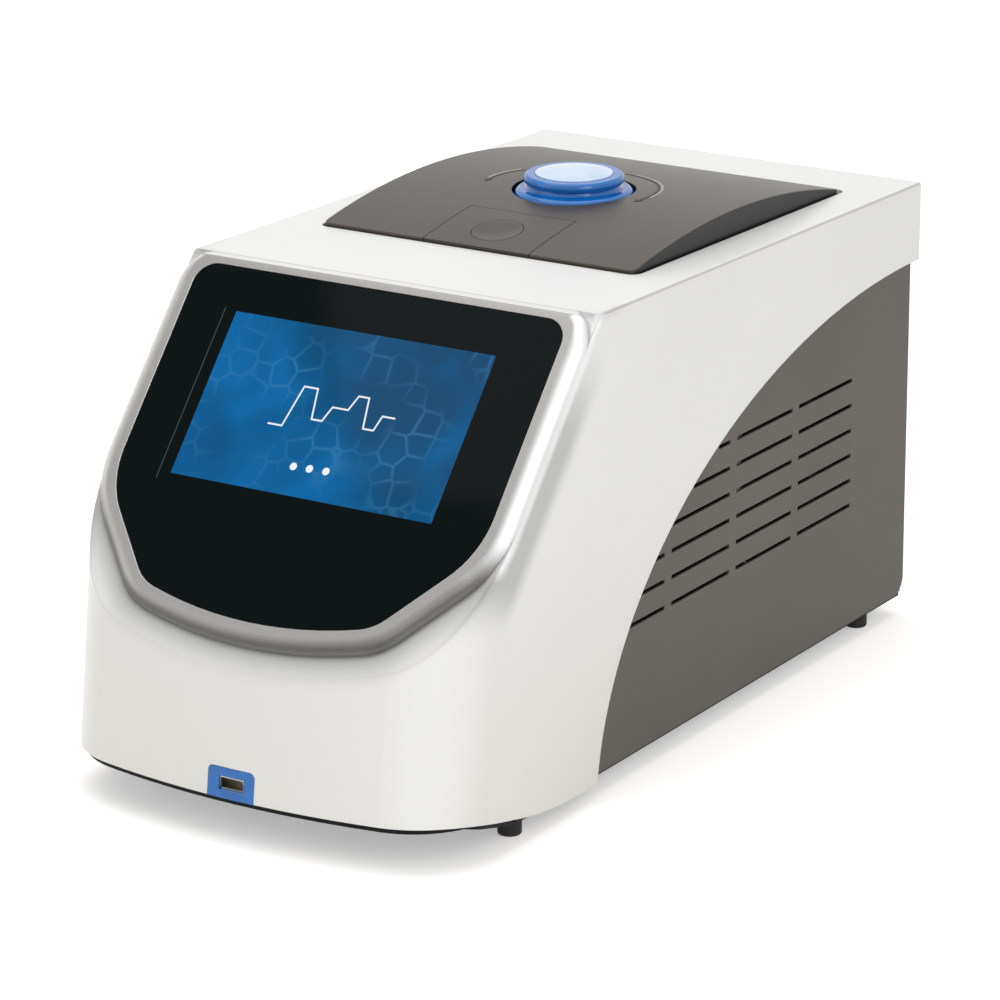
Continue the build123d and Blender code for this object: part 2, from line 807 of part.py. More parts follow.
def fan(side, frame_name, rotor_name):
    """Axial fan: square frame with its fixed hub pin, and the bladed rotor that turns on it."""
    middle = Plane(origin=(side * fan_x, fan_front_y, fan_z), x_dir=(1, 0, 0), z_dir=(0, 1, 0))
    back = fan_depth - 3.0
    with BuildPart() as frame:
        with BuildSketch(middle):
            RectangleRounded(fan_size, fan_size, 4)
            Circle(fan_bore_radius, mode=Mode.SUBTRACT)
        extrude(amount=fan_depth)
        with BuildSketch(middle.offset(back)):
            Circle(fan_hub_radius)
            with PolarLocations((fan_hub_radius + fan_bore_radius) / 2, 4, start_angle=45):
                Rectangle(fan_bore_radius - fan_hub_radius + 3, 5)
        extrude(amount=3.0)
        with BuildSketch(middle.offset(4.0)):
            Circle(fan_pin_radius)
        extrude(amount=back - 4.0)
    frame.part.label = frame_name
    export_step(frame.part, f"parts/{frame_name}.step")
    with BuildPart() as rotor:
        with BuildSketch(middle.offset(1.5)):
            Circle(fan_hub_radius)
        extrude(amount=back - 2.0)
        blade_height = back - 5.0
        blade_long = fan_bore_radius - fan_tip_gap - fan_hub_radius + 1.5
        for turn in range(fan_blades):
            blade_plane = middle.offset(3.0).rotated((0, turn * 360 / fan_blades, 0))
            with BuildSketch(blade_plane):
                with Locations((fan_hub_radius + blade_long / 2 - 1.5, 0)):
                    Rectangle(blade_long, 2.0)
            with BuildSketch(blade_plane.offset(blade_height).rotated((0, fan_twist, 0))):
                with Locations((fan_hub_radius + blade_long / 2 - 1.5, 0)):
                    Rectangle(blade_long, 2.0)
            loft()
        with BuildSketch(middle.offset(3.5)):
            Circle(fan_pin_radius + running_gap)
        extrude(amount=back, mode=Mode.SUBTRACT)
    rotor.part.label = rotor_name
    export_step(rotor.part, f"parts/{rotor_name}.step")


fan(-1, "fan_frame_left", "fan_rotor_left")
fan(1, "fan_frame_right", "fan_rotor_right")


# Rear panel with the two fan grilles, the inlet's window and the data socket's window.
with BuildPart() as rear_panel:
    with BuildSketch(Plane.XZ.offset(-rear_face_y)):
        with Locations((0, (rear_top_z + panel_bottom_z) / 2)):
            Rectangle(2 * inner_x, rear_top_z - panel_bottom_z)
        with Locations((inlet_x, inlet_z)):
            Rectangle(inlet_width + 2 * fit_gap, inlet_height + 2 * fit_gap, mode=Mode.SUBTRACT)
        with Locations((data_x, data_z)):
            Rectangle(data_width + 2 * fit_gap, data_height + 2 * fit_gap, mode=Mode.SUBTRACT)
        slots = int(fan_bore_radius / grille_pitch)
        for side in (-1, 1):
            for row in range(-slots, slots + 1):
                row_z = row * grille_pitch
                reach = sqrt(fan_bore_radius**2 - (abs(row_z) + grille_slot / 2) ** 2)
                with Locations((side * fan_x, fan_z + row_z)):
                    Rectangle(2 * reach - 2, grille_slot, mode=Mode.SUBTRACT)
    extrude(amount=rear_sheet)
rear_panel.part.label = "rear_panel"
export_step(rear_panel.part, "parts/rear_panel.step")

fan_screw_reach = fan_size / 2 - 4.3
fan_screws_at = [
    (side * fan_x + sx * fan_screw_reach, fan_z + sz * fan_screw_reach)
    for side in (-1, 1)
    for sx in (-1, 1)
    for sz in (-1, 1)
]

# Pan-head screws that hold the fans, seated on the rear panel.
with BuildPart() as fan_screws:
    with BuildSketch(Plane.XZ.offset(-rear_face_y - stack_gap)):
        with Locations(*fan_screws_at):
            Circle(2.8)
    extrude(amount=-1.8)
    chamfer(edges().filter_by(GeomType.CIRCLE).group_by(Axis.Y)[-1], 0.5)
fan_screws.part.label = "fan_screws"
export_step(fan_screws.part, "parts/fan_screws.step")

socket_z = inlet_z - socket_drop
drawer_z = socket_z + socket_height / 2 + 4.0 + drawer_height / 2
rocker_z = inlet_z + rocker_rise + 3.0
inlet_face_y = rear_face_y + inlet_flange_sheet

# Mains inlet with its socket, fuse drawer bay and rocker bay in one moulding.
with BuildPart() as mains_inlet:
    with BuildSketch(Plane.XZ.offset(-rear_face_y - stack_gap)):
        with Locations((inlet_x, inlet_z)):
            RectangleRounded(inlet_width + 2 * inlet_flange, inlet_height + 2 * inlet_flange, 2.5)
    extrude(amount=-inlet_flange_sheet)
    with BuildSketch(Plane.XZ.offset(-rear_face_y - stack_gap)):
        with Locations((inlet_x, inlet_z)):
            Rectangle(inlet_width, inlet_height)
    extrude(amount=inlet_depth)
    with BuildSketch(Plane.XZ.offset(-inlet_face_y - 1)):
        with Locations((inlet_x, socket_z)):
            Rectangle(socket_width, socket_height)
            chamfer(vertices().group_by(Axis.Y)[-1], 3.5)
    extrude(amount=socket_depth + 1, mode=Mode.SUBTRACT)
    with BuildSketch(Plane.XZ.offset(-inlet_face_y - 1)):
        with Locations((inlet_x, drawer_z)):
            Rectangle(drawer_width + 2 * drawer_gap, drawer_height + 2 * drawer_gap)
    extrude(amount=drawer_depth + 2, mode=Mode.SUBTRACT)
    with BuildSketch(Plane.XZ.offset(-inlet_face_y - 1)):
        with Locations((inlet_x, rocker_z)):
            Rectangle(rocker_width + 0.8, rocker_height + 1.6)
    extrude(amount=12.0, mode=Mode.SUBTRACT)
mains_inlet.part.label = "mains_inlet"
export_step(mains_inlet.part, "parts/mains_inlet.step")

# Three blades in the socket; the earth blade stands above the other two.
with BuildPart() as inlet_pins:
    blade_back = inlet_face_y + stack_gap - socket_depth
    with BuildSketch(Plane.XZ.offset(-blade_back)):
        with Locations((inlet_x - pin_spacing / 2, socket_z - 2.5), (inlet_x + pin_spacing / 2, socket_z - 2.5)):
            Rectangle(2.0, 4.0)
        with Locations((inlet_x, socket_z + 3.5)):
            Rectangle(2.0, 4.0)
    extrude(amount=-socket_depth + 4.0)
inlet_pins.part.label = "inlet_pins"
export_step(inlet_pins.part, "parts/inlet_pins.step")

# Fuse drawer with a finger lip, and the fuse it carries.
drawer_face_y = inlet_face_y + stack_gap
with BuildPart() as fuse_drawer:
    with BuildSketch(Plane.XZ.offset(-drawer_face_y)):
        with Locations((inlet_x, drawer_z)):
            Rectangle(drawer_width, drawer_height)
    extrude(amount=drawer_depth)
    with BuildSketch(Plane.XZ.offset(-drawer_face_y)):
        with Locations((inlet_x, drawer_z)):
            Rectangle(drawer_width * 0.4, 2.2)
    extrude(amount=-1.0)
    with BuildSketch(Plane.XY.offset(drawer_z + drawer_height / 2)):
        with Locations((inlet_x, drawer_face_y - drawer_depth / 2)):
            Rectangle(drawer_width - 3, drawer_depth - 5)
    extrude(amount=-drawer_height + 2.0, mode=Mode.SUBTRACT)
fuse_drawer.part.label = "fuse_drawer"
export_step(fuse_drawer.part, "parts/fuse_drawer.step")

with BuildPart() as fuse:
    fuse_bed_z = drawer_z - drawer_height / 2 + 2.0
    with BuildSketch(Plane.YZ.offset(inlet_x - 10)):
        with Locations((drawer_face_y - drawer_depth / 2, fuse_bed_z + 2.7)):
            Circle(2.6)
    extrude(amount=20)
fuse.part.label = "fuse"
export_step(fuse.part, "parts/fuse.step")

# Rocker: two faces that meet at the pivot, tilted to one side at rest.
rocker_pivot = Plane(
    origin=(inlet_x, inlet_face_y - 4.0, rocker_z), x_dir=(0, 1, 0), z_dir=(1, 0, 0)
).rotated((rocker_tilt, 0, 0))
with BuildPart() as power_rocker:
    with BuildSketch(rocker_pivot):
        with BuildLine():
            reach = rocker_height / 2
            Polyline(
                (-3.0, -reach * 0.6),
                (2.0, -reach * 0.93),
                (5.2, -reach * 0.9),
                (3.8, 0),
                (5.2, reach * 0.9),
                (2.0, reach * 0.93),
                (-3.0, reach * 0.6),
                close=True,
            )
        make_face()
        Circle(rocker_pin_radius + running_gap, mode=Mode.SUBTRACT)
    extrude(amount=rocker_width / 2, both=True)
power_rocker.part.label = "power_rocker"
export_step(power_rocker.part, "parts/power_rocker.step")

with BuildPart() as rocker_pin:
    with BuildSketch(rocker_pivot):
        Circle(rocker_pin_radius)
    extrude(amount=rocker_width / 2 + 0.35, both=True)
rocker_pin.part.label = "rocker_pin"
export_step(rocker_pin.part, "parts/rocker_pin.step")

# Data socket beside the inlet.
with BuildPart() as data_socket:
    with BuildSketch(Plane.XZ.offset(-rear_face_y)):
        with Locations((data_x, data_z)):
            Rectangle(data_width, data_height)
    extrude(amount=data_depth)
    with BuildSketch(Plane.XZ.offset(-rear_face_y)):
        with Locations((data_x, data_z)):
            Rectangle(data_width - 2 * data_wall, data_height - 2 * data_wall)
            chamfer(vertices().group_by(Axis.Y)[-1], 1.8)
    extrude(amount=data_depth - 2, mode=Mode.SUBTRACT)
data_socket.part.label = "data_socket"
export_step(data_socket.part, "parts/data_socket.step")

# Upright board behind the data socket, standing on the tray.
with BuildPart() as data_board:
    with BuildSketch(Plane.XY.offset(tray_z + tray_sheet + stack_gap)):
        with Locations((data_x, rear_face_y - data_depth - stack_gap - board_sheet / 2)):
            Rectangle(data_board_width, board_sheet)
    extrude(amount=data_z + data_height - tray_z - tray_sheet)
data_board.part.label = "data_board"
export_step(data_board.part, "parts/data_board.step")

# Power supply on the tray, with a slotted cover.
with BuildPart() as power_supply:
    with BuildSketch(Plane.XY.offset(tray_z + tray_sheet + stack_gap)):
        with Locations((supply_x, supply_front_y + supply_length / 2)):
            Rectangle(supply_width, supply_length)
    extrude(amount=supply_height)
    with BuildSketch(Plane.XY.offset(tray_z + tray_sheet + stack_gap + supply_height)):
        with Locations((supply_x, supply_front_y + supply_length / 2)):
            with GridLocations(9, 1, 9, 1):
                Rectangle(4, supply_length * 0.6)
    extrude(amount=-1.5, mode=Mode.SUBTRACT)
    with BuildSketch(Plane.XY.offset(tray_z + tray_sheet + stack_gap)):
        with Locations((supply_x, supply_front_y - 6)):
            Rectangle(supply_width * 0.7, 12)
    extrude(amount=16)
power_supply.part.label = "power_supply"
export_step(power_supply.part, "parts/power_supply.step")

board_z = tray_z + tray_sheet + board_rise
driver_posts = [
    (sx * (board_width / 2 - 5), board_front_y + board_length / 2 + sy * (board_length / 2 - 5))
    for sx in (-1, 1)
    for sy in (-1, 1)
]
with BuildPart() as board_posts_tray:
    with BuildSketch(Plane.XY.offset(tray_z + tray_sheet)):
        with Locations(*driver_posts):
            RegularPolygon(3.2, 6)
    extrude(amount=board_rise - stack_gap)
board_posts_tray.part.label = "board_posts"
export_step(board_posts_tray.part, "parts/board_posts.step")

# Driver board with capacitors, cooling bars and connectors.
with BuildPart() as driver_board:
    board_middle = board_front_y + board_length / 2
    with BuildSketch(Plane.XY.offset(board_z)):
        with Locations((0, board_middle)):
            Rectangle(board_width, board_length)
    extrude(amount=board_sheet)
    with BuildSketch(Plane.XY.offset(board_z + board_sheet)):
        with Locations((0, board_middle)):
            with GridLocations(46, 1, 3, 1):
                Rectangle(14, 70)
    extrude(amount=26)
    with BuildSketch(Plane.XY.offset(board_z + board_sheet)):
        with Locations((0, board_middle)):
            with GridLocations(46, 34, 2, 2):
                Circle(7)
    extrude(amount=22)
    with BuildSketch(Plane.XY.offset(board_z + board_sheet)):
        with Locations((0, board_front_y + board_length - 8)):
            with GridLocations(40, 1, 4, 1):
                Rectangle(24, 9)
    extrude(amount=11)
driver_board.part.label = "driver_board"
export_step(driver_board.part, "parts/driver_board.step")


def lid_arch(inset, half, front_y, rear_end_y, low_z, corner):
    """Solid under the lid's arch, drawn in by inset, between front_y and rear_end_y."""
    middle_y = (lid_front_y + lid_rear_y) / 2
    with BuildPart() as arch:
        with BuildSketch(Plane.XY.offset(low_z)):
            with Locations((0, (front_y + rear_end_y) / 2)):
                if corner > 0:
                    RectangleRounded(2 * half, rear_end_y - front_y, corner)
                else:
                    Rectangle(2 * half, rear_end_y - front_y)
        extrude(amount=60)
        with BuildSketch(Plane.YZ):
            with BuildLine():
                curve = ThreePointArc(
                    (lid_front_y, lid_front_z - inset),
                    (middle_y, lid_crest_z - inset),
                    (lid_rear_y, lid_rear_z - inset),
                )
                Polyline(curve @ 1, (lid_rear_y, lid_base_z), (lid_front_y, lid_base_z), curve @ 0)
            make_face()
        extrude(amount=half, both=True, mode=Mode.INTERSECT)
    return arch.part


hinge_axis = Plane(origin=(0, hinge_y, hinge_z), x_dir=(0, 1, 0), z_dir=(1, 0, 0))
notch_width = hinge_ear + 2 * knuckle_width + 4.0
plate_cut_rear = catch_plate_rear_y

# Lid cover: barrel-topped shell with the knob's hole and the catch plate's cut-out.
with BuildPart() as lid_cover:
    add(lid_arch(0, lid_half, lid_front_y, lid_rear_y, lid_bottom_z, lid_corner))
    arch_rims = edges().filter_by(lambda e: abs(abs(e.center().X) - lid_half) < 0.01 and e.center().Z > 249)
    fillet(arch_rims, 0.8)
    add(
        lid_arch(
            lid_wall,
            lid_half - lid_wall,
            lid_front_y + lid_wall,
            lid_rear_y - lid_wall,
            lid_bottom_z - 1,
            lid_corner - lid_wall,
        ),
        mode=Mode.SUBTRACT,
    )
    with BuildSketch(Plane.XY.offset(lid_bottom_z)):
        with Locations((0, block_y)):
            Circle(knob_hole_radius)
        with Locations((0, (lid_front_y + plate_cut_rear) / 2 - 5)):
            Rectangle(2 * catch_plate_half, plate_cut_rear - lid_front_y + 10)
    extrude(amount=60, mode=Mode.SUBTRACT)
    with BuildSketch(Plane.XZ.offset(-lid_rear_y - 1)):
        with Locations(*[(sx * hinge_x, (lid_bottom_z + notch_top_z) / 2) for sx in (-1, 1)]):
            Rectangle(notch_width, notch_top_z - lid_bottom_z)
    extrude(amount=lid_wall + 2, mode=Mode.SUBTRACT)
lid_cover.part.label = "lid_cover"
export_step(lid_cover.part, "parts/lid_cover.step")

# Catch plate: inlay that follows the arch, with the round button's hole.
with BuildPart() as catch_plate:
    plate_half = catch_plate_half - catch_line
    add(lid_arch(0, plate_half, lid_front_y, catch_plate_rear_y - catch_line, lid_bottom_z, 0))
    add(
        lid_arch(
            lid_wall, plate_half + 1, lid_front_y + lid_wall, catch_plate_rear_y + 5, lid_bottom_z - 1, 0
        ),
        mode=Mode.SUBTRACT,
    )
    with BuildSketch(Plane.XY.offset(lid_bottom_z)):
        with Locations((0, button_y)):
            Circle(button_radius + button_gap)
    extrude(amount=60, mode=Mode.SUBTRACT)
catch_plate.part.label = "catch_plate"
export_step(catch_plate.part, "parts/catch_plate.step")

button_base_z = lid_front_z - button_height + 1.5
lever_top_z = hook_z + hook_thickness / 2

# Round button: dished top that follows the arch, on a stem that reaches the hook's lever.
with BuildPart() as latch_button:
    add(lid_arch(0, 40, lid_front_y, 60, button_base_z, 0))
    with BuildSketch(Plane.XY.offset(button_base_z)):
        with Locations((0, button_y)):
            Circle(button_radius)
    extrude(amount=30, mode=Mode.INTERSECT)
    arch_line = ThreePointArc(
        (lid_front_y, lid_front_z),
        ((lid_front_y + lid_rear_y) / 2, lid_crest_z),
        (lid_rear_y, lid_rear_z),
        mode=Mode.PRIVATE,
    )
    arch_radius = arch_line.radius
    arch_y, arch_z = arch_line.arc_center.X, arch_line.arc_center.Y
    lean_sin = (button_y - arch_y) / arch_radius
    lean_cos = sqrt(1 - lean_sin**2)
    dish_half = button_radius - button_lip
    dish_radius = (dish_half**2 + button_dish**2) / (2 * button_dish)
    dish_far = arch_radius + dish_radius - button_dish
    with Locations((0, arch_y + dish_far * lean_sin, arch_z + dish_far * lean_cos)):
        Sphere(dish_radius, mode=Mode.SUBTRACT)
    with BuildSketch(Plane.XY.offset(lever_top_z + 0.8)):
        with Locations((0, button_y)):
            Circle(button_stem_radius)
    extrude(amount=button_base_z - lever_top_z - 0.8)
latch_button.part.label = "latch_button"
export_step(latch_button.part, "parts/latch_button.step")

shelf_z = lever_top_z + 2.2
shelf_sheet = 1.6


def coil_sleeve(plane, length, bore, outer, turns):
    """Close-wound coil drawn as a turned sleeve with one rounded ridge per turn."""
    pitch = length / turns
    root = outer - pitch * 0.35
    with BuildPart() as sleeve:
        with BuildSketch(plane):
            with BuildLine():
                Polyline((length, root), (length, bore), (0, bore), (0, root))
                for turn in range(turns):
                    ThreePointArc((turn * pitch, root), ((turn + 0.5) * pitch, outer), ((turn + 1) * pitch, root))
            make_face()
        revolve(axis=Axis(plane.origin, plane.x_dir))
    return sleeve.part


# Coil under the button, around its stem.
with BuildPart() as button_spring:
    spring_base_z = shelf_z + shelf_sheet + stack_gap
    spring_plane = Plane(origin=(0, button_y, spring_base_z), x_dir=(0, 0, 1), z_dir=(1, 0, 0))
    add(coil_sleeve(spring_plane, button_base_z - stack_gap - spring_base_z, 3.6, 4.5, 4))
button_spring.part.label = "button_spring"
export_step(button_spring.part, "parts/button_spring.step")

bridge_leg_x = plate_width / 2 + 4.0
base_window_x = bridge_leg_x - 1.0
base_window_y = plate_depth / 2 + 4.0

# Lid base: floor of the lid with the plate's window, the knob's bridge, the hook's ears and knuckles.
with BuildPart() as lid_base:
    base_front = lid_front_y + lid_base_inset
    with BuildSketch(Plane.XY.offset(lid_base_z)):
        with Locations((0, (base_front + lid_base_rear_y) / 2)):
            RectangleRounded(2 * (lid_half - lid_base_inset), lid_base_rear_y - base_front, lid_corner)
        with Locations((0, block_y)):
            Rectangle(2 * base_window_x, 2 * base_window_y, mode=Mode.SUBTRACT)
        with Locations((0, hook_y + 5)):
            Rectangle(hook_width + 2, 22, mode=Mode.SUBTRACT)
        with Locations(*[(sx * hinge_x, hinge_y) for sx in (-1, 1)]):
            Rectangle(hinge_ear + 2 * hinge_side_gap + 0.4, 24, mode=Mode.SUBTRACT)
    extrude(amount=lid_base_sheet)
    with BuildSketch(Plane.XY.offset(lid_base_top)):
        with Locations(*[(sx * (bridge_leg_x + bridge_leg / 2), block_y) for sx in (-1, 1)]):
            Rectangle(bridge_leg, bridge_depth)
    extrude(amount=bridge_z - lid_base_top)
    with BuildSketch(Plane.XY.offset(bridge_z)):
        with Locations((0, block_y)):
            Rectangle(2 * (bridge_leg_x + bridge_leg), bridge_depth)
            Circle(bearing_radius + fit_gap, mode=Mode.SUBTRACT)
    extrude(amount=bridge_height)
    with BuildSketch(Plane.YZ.offset(-14)):
        with Locations((button_y, (shelf_z + shelf_sheet + lid_base_top) / 2)):
            Rectangle(14, shelf_z + shelf_sheet - lid_base_top)
    extrude(amount=28)
    with BuildSketch(Plane.YZ.offset(-11)):
        with Locations((button_y, (shelf_z + lid_base_top) / 2)):
            Rectangle(16, shelf_z - lid_base_top)
    extrude(amount=22, mode=Mode.SUBTRACT)
    with BuildSketch(Plane.XY.offset(shelf_z)):
        with Locations((0, button_y)):
            Circle(button_stem_radius + 0.1)
    extrude(amount=shelf_sheet, mode=Mode.SUBTRACT)
    for ear_x in (-hook_width / 2 - 3.3, hook_width / 2 + 0.3):
        with BuildSketch(Plane.YZ.offset(ear_x)):
            with Locations((hook_y, (hook_z + lid_base_top) / 2)):
                Rectangle(6, hook_z - lid_base_top)
            with Locations((hook_y, hook_z)):
                Circle(3)
                Circle(hook_pin_radius + 0.01, mode=Mode.SUBTRACT)
        extrude(amount=3)
    for side in (-1, 1):
        for step in (-1, 1):
            near = side * hinge_x + step * (hinge_ear / 2 + hinge_side_gap)
            with BuildSketch(hinge_axis.offset(near)):
                with Locations((0, -hinge_boss_radius)):
                    Rectangle(2 * hinge_boss_radius, 2 * hinge_boss_radius)
                Circle(hinge_boss_radius)
            extrude(amount=step * knuckle_width)
    with BuildSketch(Plane.XY.offset(lid_base_z - 10)):
        Rectangle(body_width, body_length * 2)
    extrude(amount=10, mode=Mode.SUBTRACT)
    with BuildSketch(hinge_axis.offset(-half_width)):
        Circle(hinge_pin_radius + running_gap)
    extrude(amount=body_width, mode=Mode.SUBTRACT)
lid_base.part.label = "lid_base"
export_step(lid_base.part, "parts/lid_base.step")

# Hinge brackets on the deck, one ear each.
with BuildPart() as hinge_brackets:
    for side in (-1, 1):
        with BuildSketch(hinge_axis.offset(side * hinge_x - hinge_ear / 2)):
            with Locations((0, (deck_top_z - hinge_z) / 2)):
                Rectangle(8, hinge_z - deck_top_z)
            Circle(4)
            Circle(hinge_pin_radius + 0.01, mode=Mode.SUBTRACT)
        extrude(amount=hinge_ear)
    with BuildSketch(Plane.XY.offset(deck_top_z)):
        with Locations(*[(sx * hinge_x, hinge_y - 2) for sx in (-1, 1)]):
            RectangleRounded(22, 16, 2)
    extrude(amount=2.0)
hinge_brackets.part.label = "hinge_brackets"
export_step(hinge_brackets.part, "parts/hinge_brackets.step")

pin_reach = hinge_ear / 2 + hinge_side_gap + knuckle_width

# Hinge pins, longer towards the middle, where each carries a lid spring.
with BuildPart() as hinge_pins:
    for side in (-1, 1):
        inner_end = side * (hinge_x - pin_reach - lid_spring_length - 1.0)
        outer_end = side * (hinge_x + pin_reach + 0.3)
        with BuildSketch(hinge_axis.offset(min(inner_end, outer_end))):
            Circle(hinge_pin_radius)
        extrude(amount=abs(outer_end - inner_end))
hinge_pins.part.label = "hinge_pins"
export_step(hinge_pins.part, "parts/hinge_pins.step")

# Close-wound lid springs on the pins.
with BuildPart() as lid_springs:
    for side in (-1, 1):
        near = side * (hinge_x - pin_reach - 0.5) - (lid_spring_length if side > 0 else 0)
        sleeve_plane = Plane(origin=(near, hinge_y, hinge_z), x_dir=(1, 0, 0), z_dir=(0, 0, 1))
        add(coil_sleeve(sleeve_plane, lid_spring_length, hinge_pin_radius + stack_gap, 3.9, 5))
lid_springs.part.label = "lid_springs"
export_step(lid_springs.part, "parts/lid_springs.step")

# Latch hook: lever under the button and hanging hook on one pivot.
with BuildPart() as latch_hook:
    with BuildSketch(Plane.YZ.offset(-hook_width / 2)):
        with Locations((hook_y + hook_lever / 2, hook_z)):
            Rectangle(hook_lever, hook_thickness)
        with Locations((hook_y, hook_z)):
            Circle(2.6)
        with Locations((hook_y - hook_thickness / 2 + 0.4, (hook_z + hook_tip_z) / 2)):
            Rectangle(hook_thickness, hook_z - hook_tip_z)
        with Locations((hook_y + 0.4 + hook_nose / 2, hook_tip_z + hook_nose_height / 2)):
            Rectangle(hook_nose, hook_nose_height)
        with Locations((hook_y, hook_z)):
            Circle(hook_pin_radius + running_gap, mode=Mode.SUBTRACT)
    extrude(amount=hook_width)
latch_hook.part.label = "latch_hook"
export_step(latch_hook.part, "parts/latch_hook.step")

with BuildPart() as hook_pin:
    with BuildSketch(Plane.YZ.offset(-hook_width / 2 - 3.6)):
        with Locations((hook_y, hook_z)):
            Circle(hook_pin_radius)
    extrude(amount=hook_width + 7.2)
hook_pin.part.label = "hook_pin"
export_step(hook_pin.part, "parts/hook_pin.step")

# Keeper on the deck; its lip stands just clear of the hook's nose.
with BuildPart() as latch_keeper:
    lip_y = hook_y + 0.4 + hook_nose + keeper_gap
    with BuildSketch(Plane.YZ.offset(-hook_width / 2)):
        with BuildLine():
            Polyline(
                (lip_y + 1.2, deck_top_z),
                (lip_y + 1.2, hook_tip_z + hook_nose_height + 0.3),
                (lip_y, hook_tip_z + hook_nose_height + 0.3),
                (lip_y, hook_tip_z + hook_nose_height + 1.6),
                (lip_y + 2.8, hook_tip_z + hook_nose_height + 1.6),
                (lip_y + 2.8, deck_top_z + 1.5),
                (lip_y + 8.0, deck_top_z + 1.5),
                (lip_y + 8.0, deck_top_z),
                close=True,
            )
        make_face()
    extrude(amount=hook_width)
latch_keeper.part.label = "latch_keeper"
export_step(latch_keeper.part, "parts/latch_keeper.step")

# Heated plate under the lid.
with BuildPart() as heated_plate:
    with BuildSketch(Plane.XY.offset(plate_z)):
        with Locations((0, block_y)):
            RectangleRounded(plate_width, plate_depth, 3)
    extrude(amount=plate_height)
    chamfer(faces().sort_by(Axis.Z)[0].edges(), 0.8)
heated_plate.part.label = "heated_plate"
export_step(heated_plate.part, "parts/heated_plate.step")

with BuildPart() as heater_mat:
    with BuildSketch(Plane.XY.offset(plate_z + plate_height)):
        with Locations((0, block_y)):
            Rectangle(plate_width - 6, plate_depth - 6)
    extrude(amount=mat_height)
heater_mat.part.label = "heater_mat"
export_step(heater_mat.part, "parts/heater_mat.step")

guide_places = [(sx * guide_x, block_y) for sx in (-1, 1)]

# Plate carrier with the spindle's nut and two guide sockets.
with BuildPart() as plate_carrier:
    with BuildSketch(Plane.XY.offset(carrier_z)):
        with Locations((0, block_y)):
            RectangleRounded(plate_width - 2 * carrier_inset, plate_depth - 2 * carrier_inset, 4)
    extrude(amount=carrier_height)
    with BuildSketch(Plane.XY.offset(carrier_z + carrier_height)):
        with Locations((0, block_y)):
            Circle(spindle_radius + 4)
        with Locations(*guide_places):
            Circle(guide_radius + 2)
    extrude(amount=carrier_boss_height)
    with BuildSketch(Plane.XY.offset(carrier_z)):
        with Locations((0, block_y)):
            Circle(spindle_radius + running_gap)
        with Locations(*guide_places):
            Circle(guide_radius + running_gap)
    extrude(amount=carrier_height + carrier_boss_height, mode=Mode.SUBTRACT)
plate_carrier.part.label = "plate_carrier"
export_step(plate_carrier.part, "parts/plate_carrier.step")

# Guide pins hang from the bridge into the carrier's sockets.
with BuildPart() as guide_pins:
    with BuildSketch(Plane.XY.offset(carrier_z + 0.3)):
        with Locations(*guide_places):
            Circle(guide_radius)
    extrude(amount=bridge_z - carrier_z - 0.3)
guide_pins.part.label = "guide_pins"
export_step(guide_pins.part, "parts/guide_pins.step")

# Flanged bush in the bridge, in which the spindle turns.
with BuildPart() as spindle_bearing:
    with BuildSketch(Plane.XY.offset(bridge_z)):
        with Locations((0, block_y)):
            Circle(bearing_radius)
    extrude(amount=bridge_height + 0.05)
    with BuildSketch(Plane.XY.offset(bridge_z + bridge_height + 0.05)):
        with Locations((0, block_y)):
            Circle(bearing_flange)
    extrude(amount=2.0)
    with BuildSketch(Plane.XY.offset(bridge_z)):
        with Locations((0, block_y)):
            Circle(spindle_radius + running_gap)
    extrude(amount=bridge_height + 3, mode=Mode.SUBTRACT)
spindle_bearing.part.label = "spindle_bearing"
export_step(spindle_bearing.part, "parts/spindle_bearing.step")

collar_z = bridge_z + bridge_height + 2.05 + 0.3

# Spindle: lead screw with a collar above the bush and a drive end inside the knob.
with BuildPart() as spindle:
    with BuildSketch(Plane.XY.offset(carrier_z + 0.9)):
        with Locations((0, block_y)):
            Circle(spindle_radius)
    extrude(amount=knob_bottom_z - carrier_z - 0.9)
    with BuildSketch(Plane.XY.offset(collar_z)):
        with Locations((0, block_y)):
            Circle(spindle_radius + 3)
    extrude(amount=knob_bottom_z - collar_z)
spindle.part.label = "spindle"
export_step(spindle.part, "parts/spindle.step")

# Knob: turned body with a low flange, a waist and a gripping rim.
with BuildPart() as knob:
    with BuildSketch(Plane(origin=(0, block_y, 0), x_dir=(1, 0, 0), z_dir=(0, -1, 0))):
        with BuildLine():
            Polyline(
                (0, knob_bottom_z),
                (knob_flange_radius - 0.6, knob_bottom_z),
                (knob_flange_radius, knob_bottom_z + 0.6),
                (knob_flange_radius, knob_flange_z - 2.2),
            )
            ThreePointArc(
                (knob_flange_radius, knob_flange_z - 2.2),
                (knob_flange_radius - 1.4, knob_flange_z - 0.4),
                (knob_flange_radius - 3.6, knob_flange_z),
            )
            ThreePointArc(
                (knob_flange_radius - 3.6, knob_flange_z),
                (knob_waist_radius + 0.4, knob_flange_z + 1.2),
                (knob_waist_radius, knob_waist_z - 1.0),
            )
            ThreePointArc(
                (knob_waist_radius, knob_waist_z - 1.0),
                (knob_rim_radius, knob_waist_z + 2.0),
                (knob_rim_radius - 1.6, knob_rim_z),
            )
            Polyline(
                (knob_rim_radius - 1.6, knob_rim_z),
                (knob_cap_radius + fit_gap, knob_rim_z),
                (knob_cap_radius + fit_gap, knob_rim_z - knob_cap_seat),
                (0, knob_rim_z - knob_cap_seat),
                (0, knob_bottom_z),
            )
        make_face()
    revolve(axis=Axis((0, block_y, 0), (0, 0, 1)))
knob.part.label = "knob"
export_step(knob.part, "parts/knob.step")

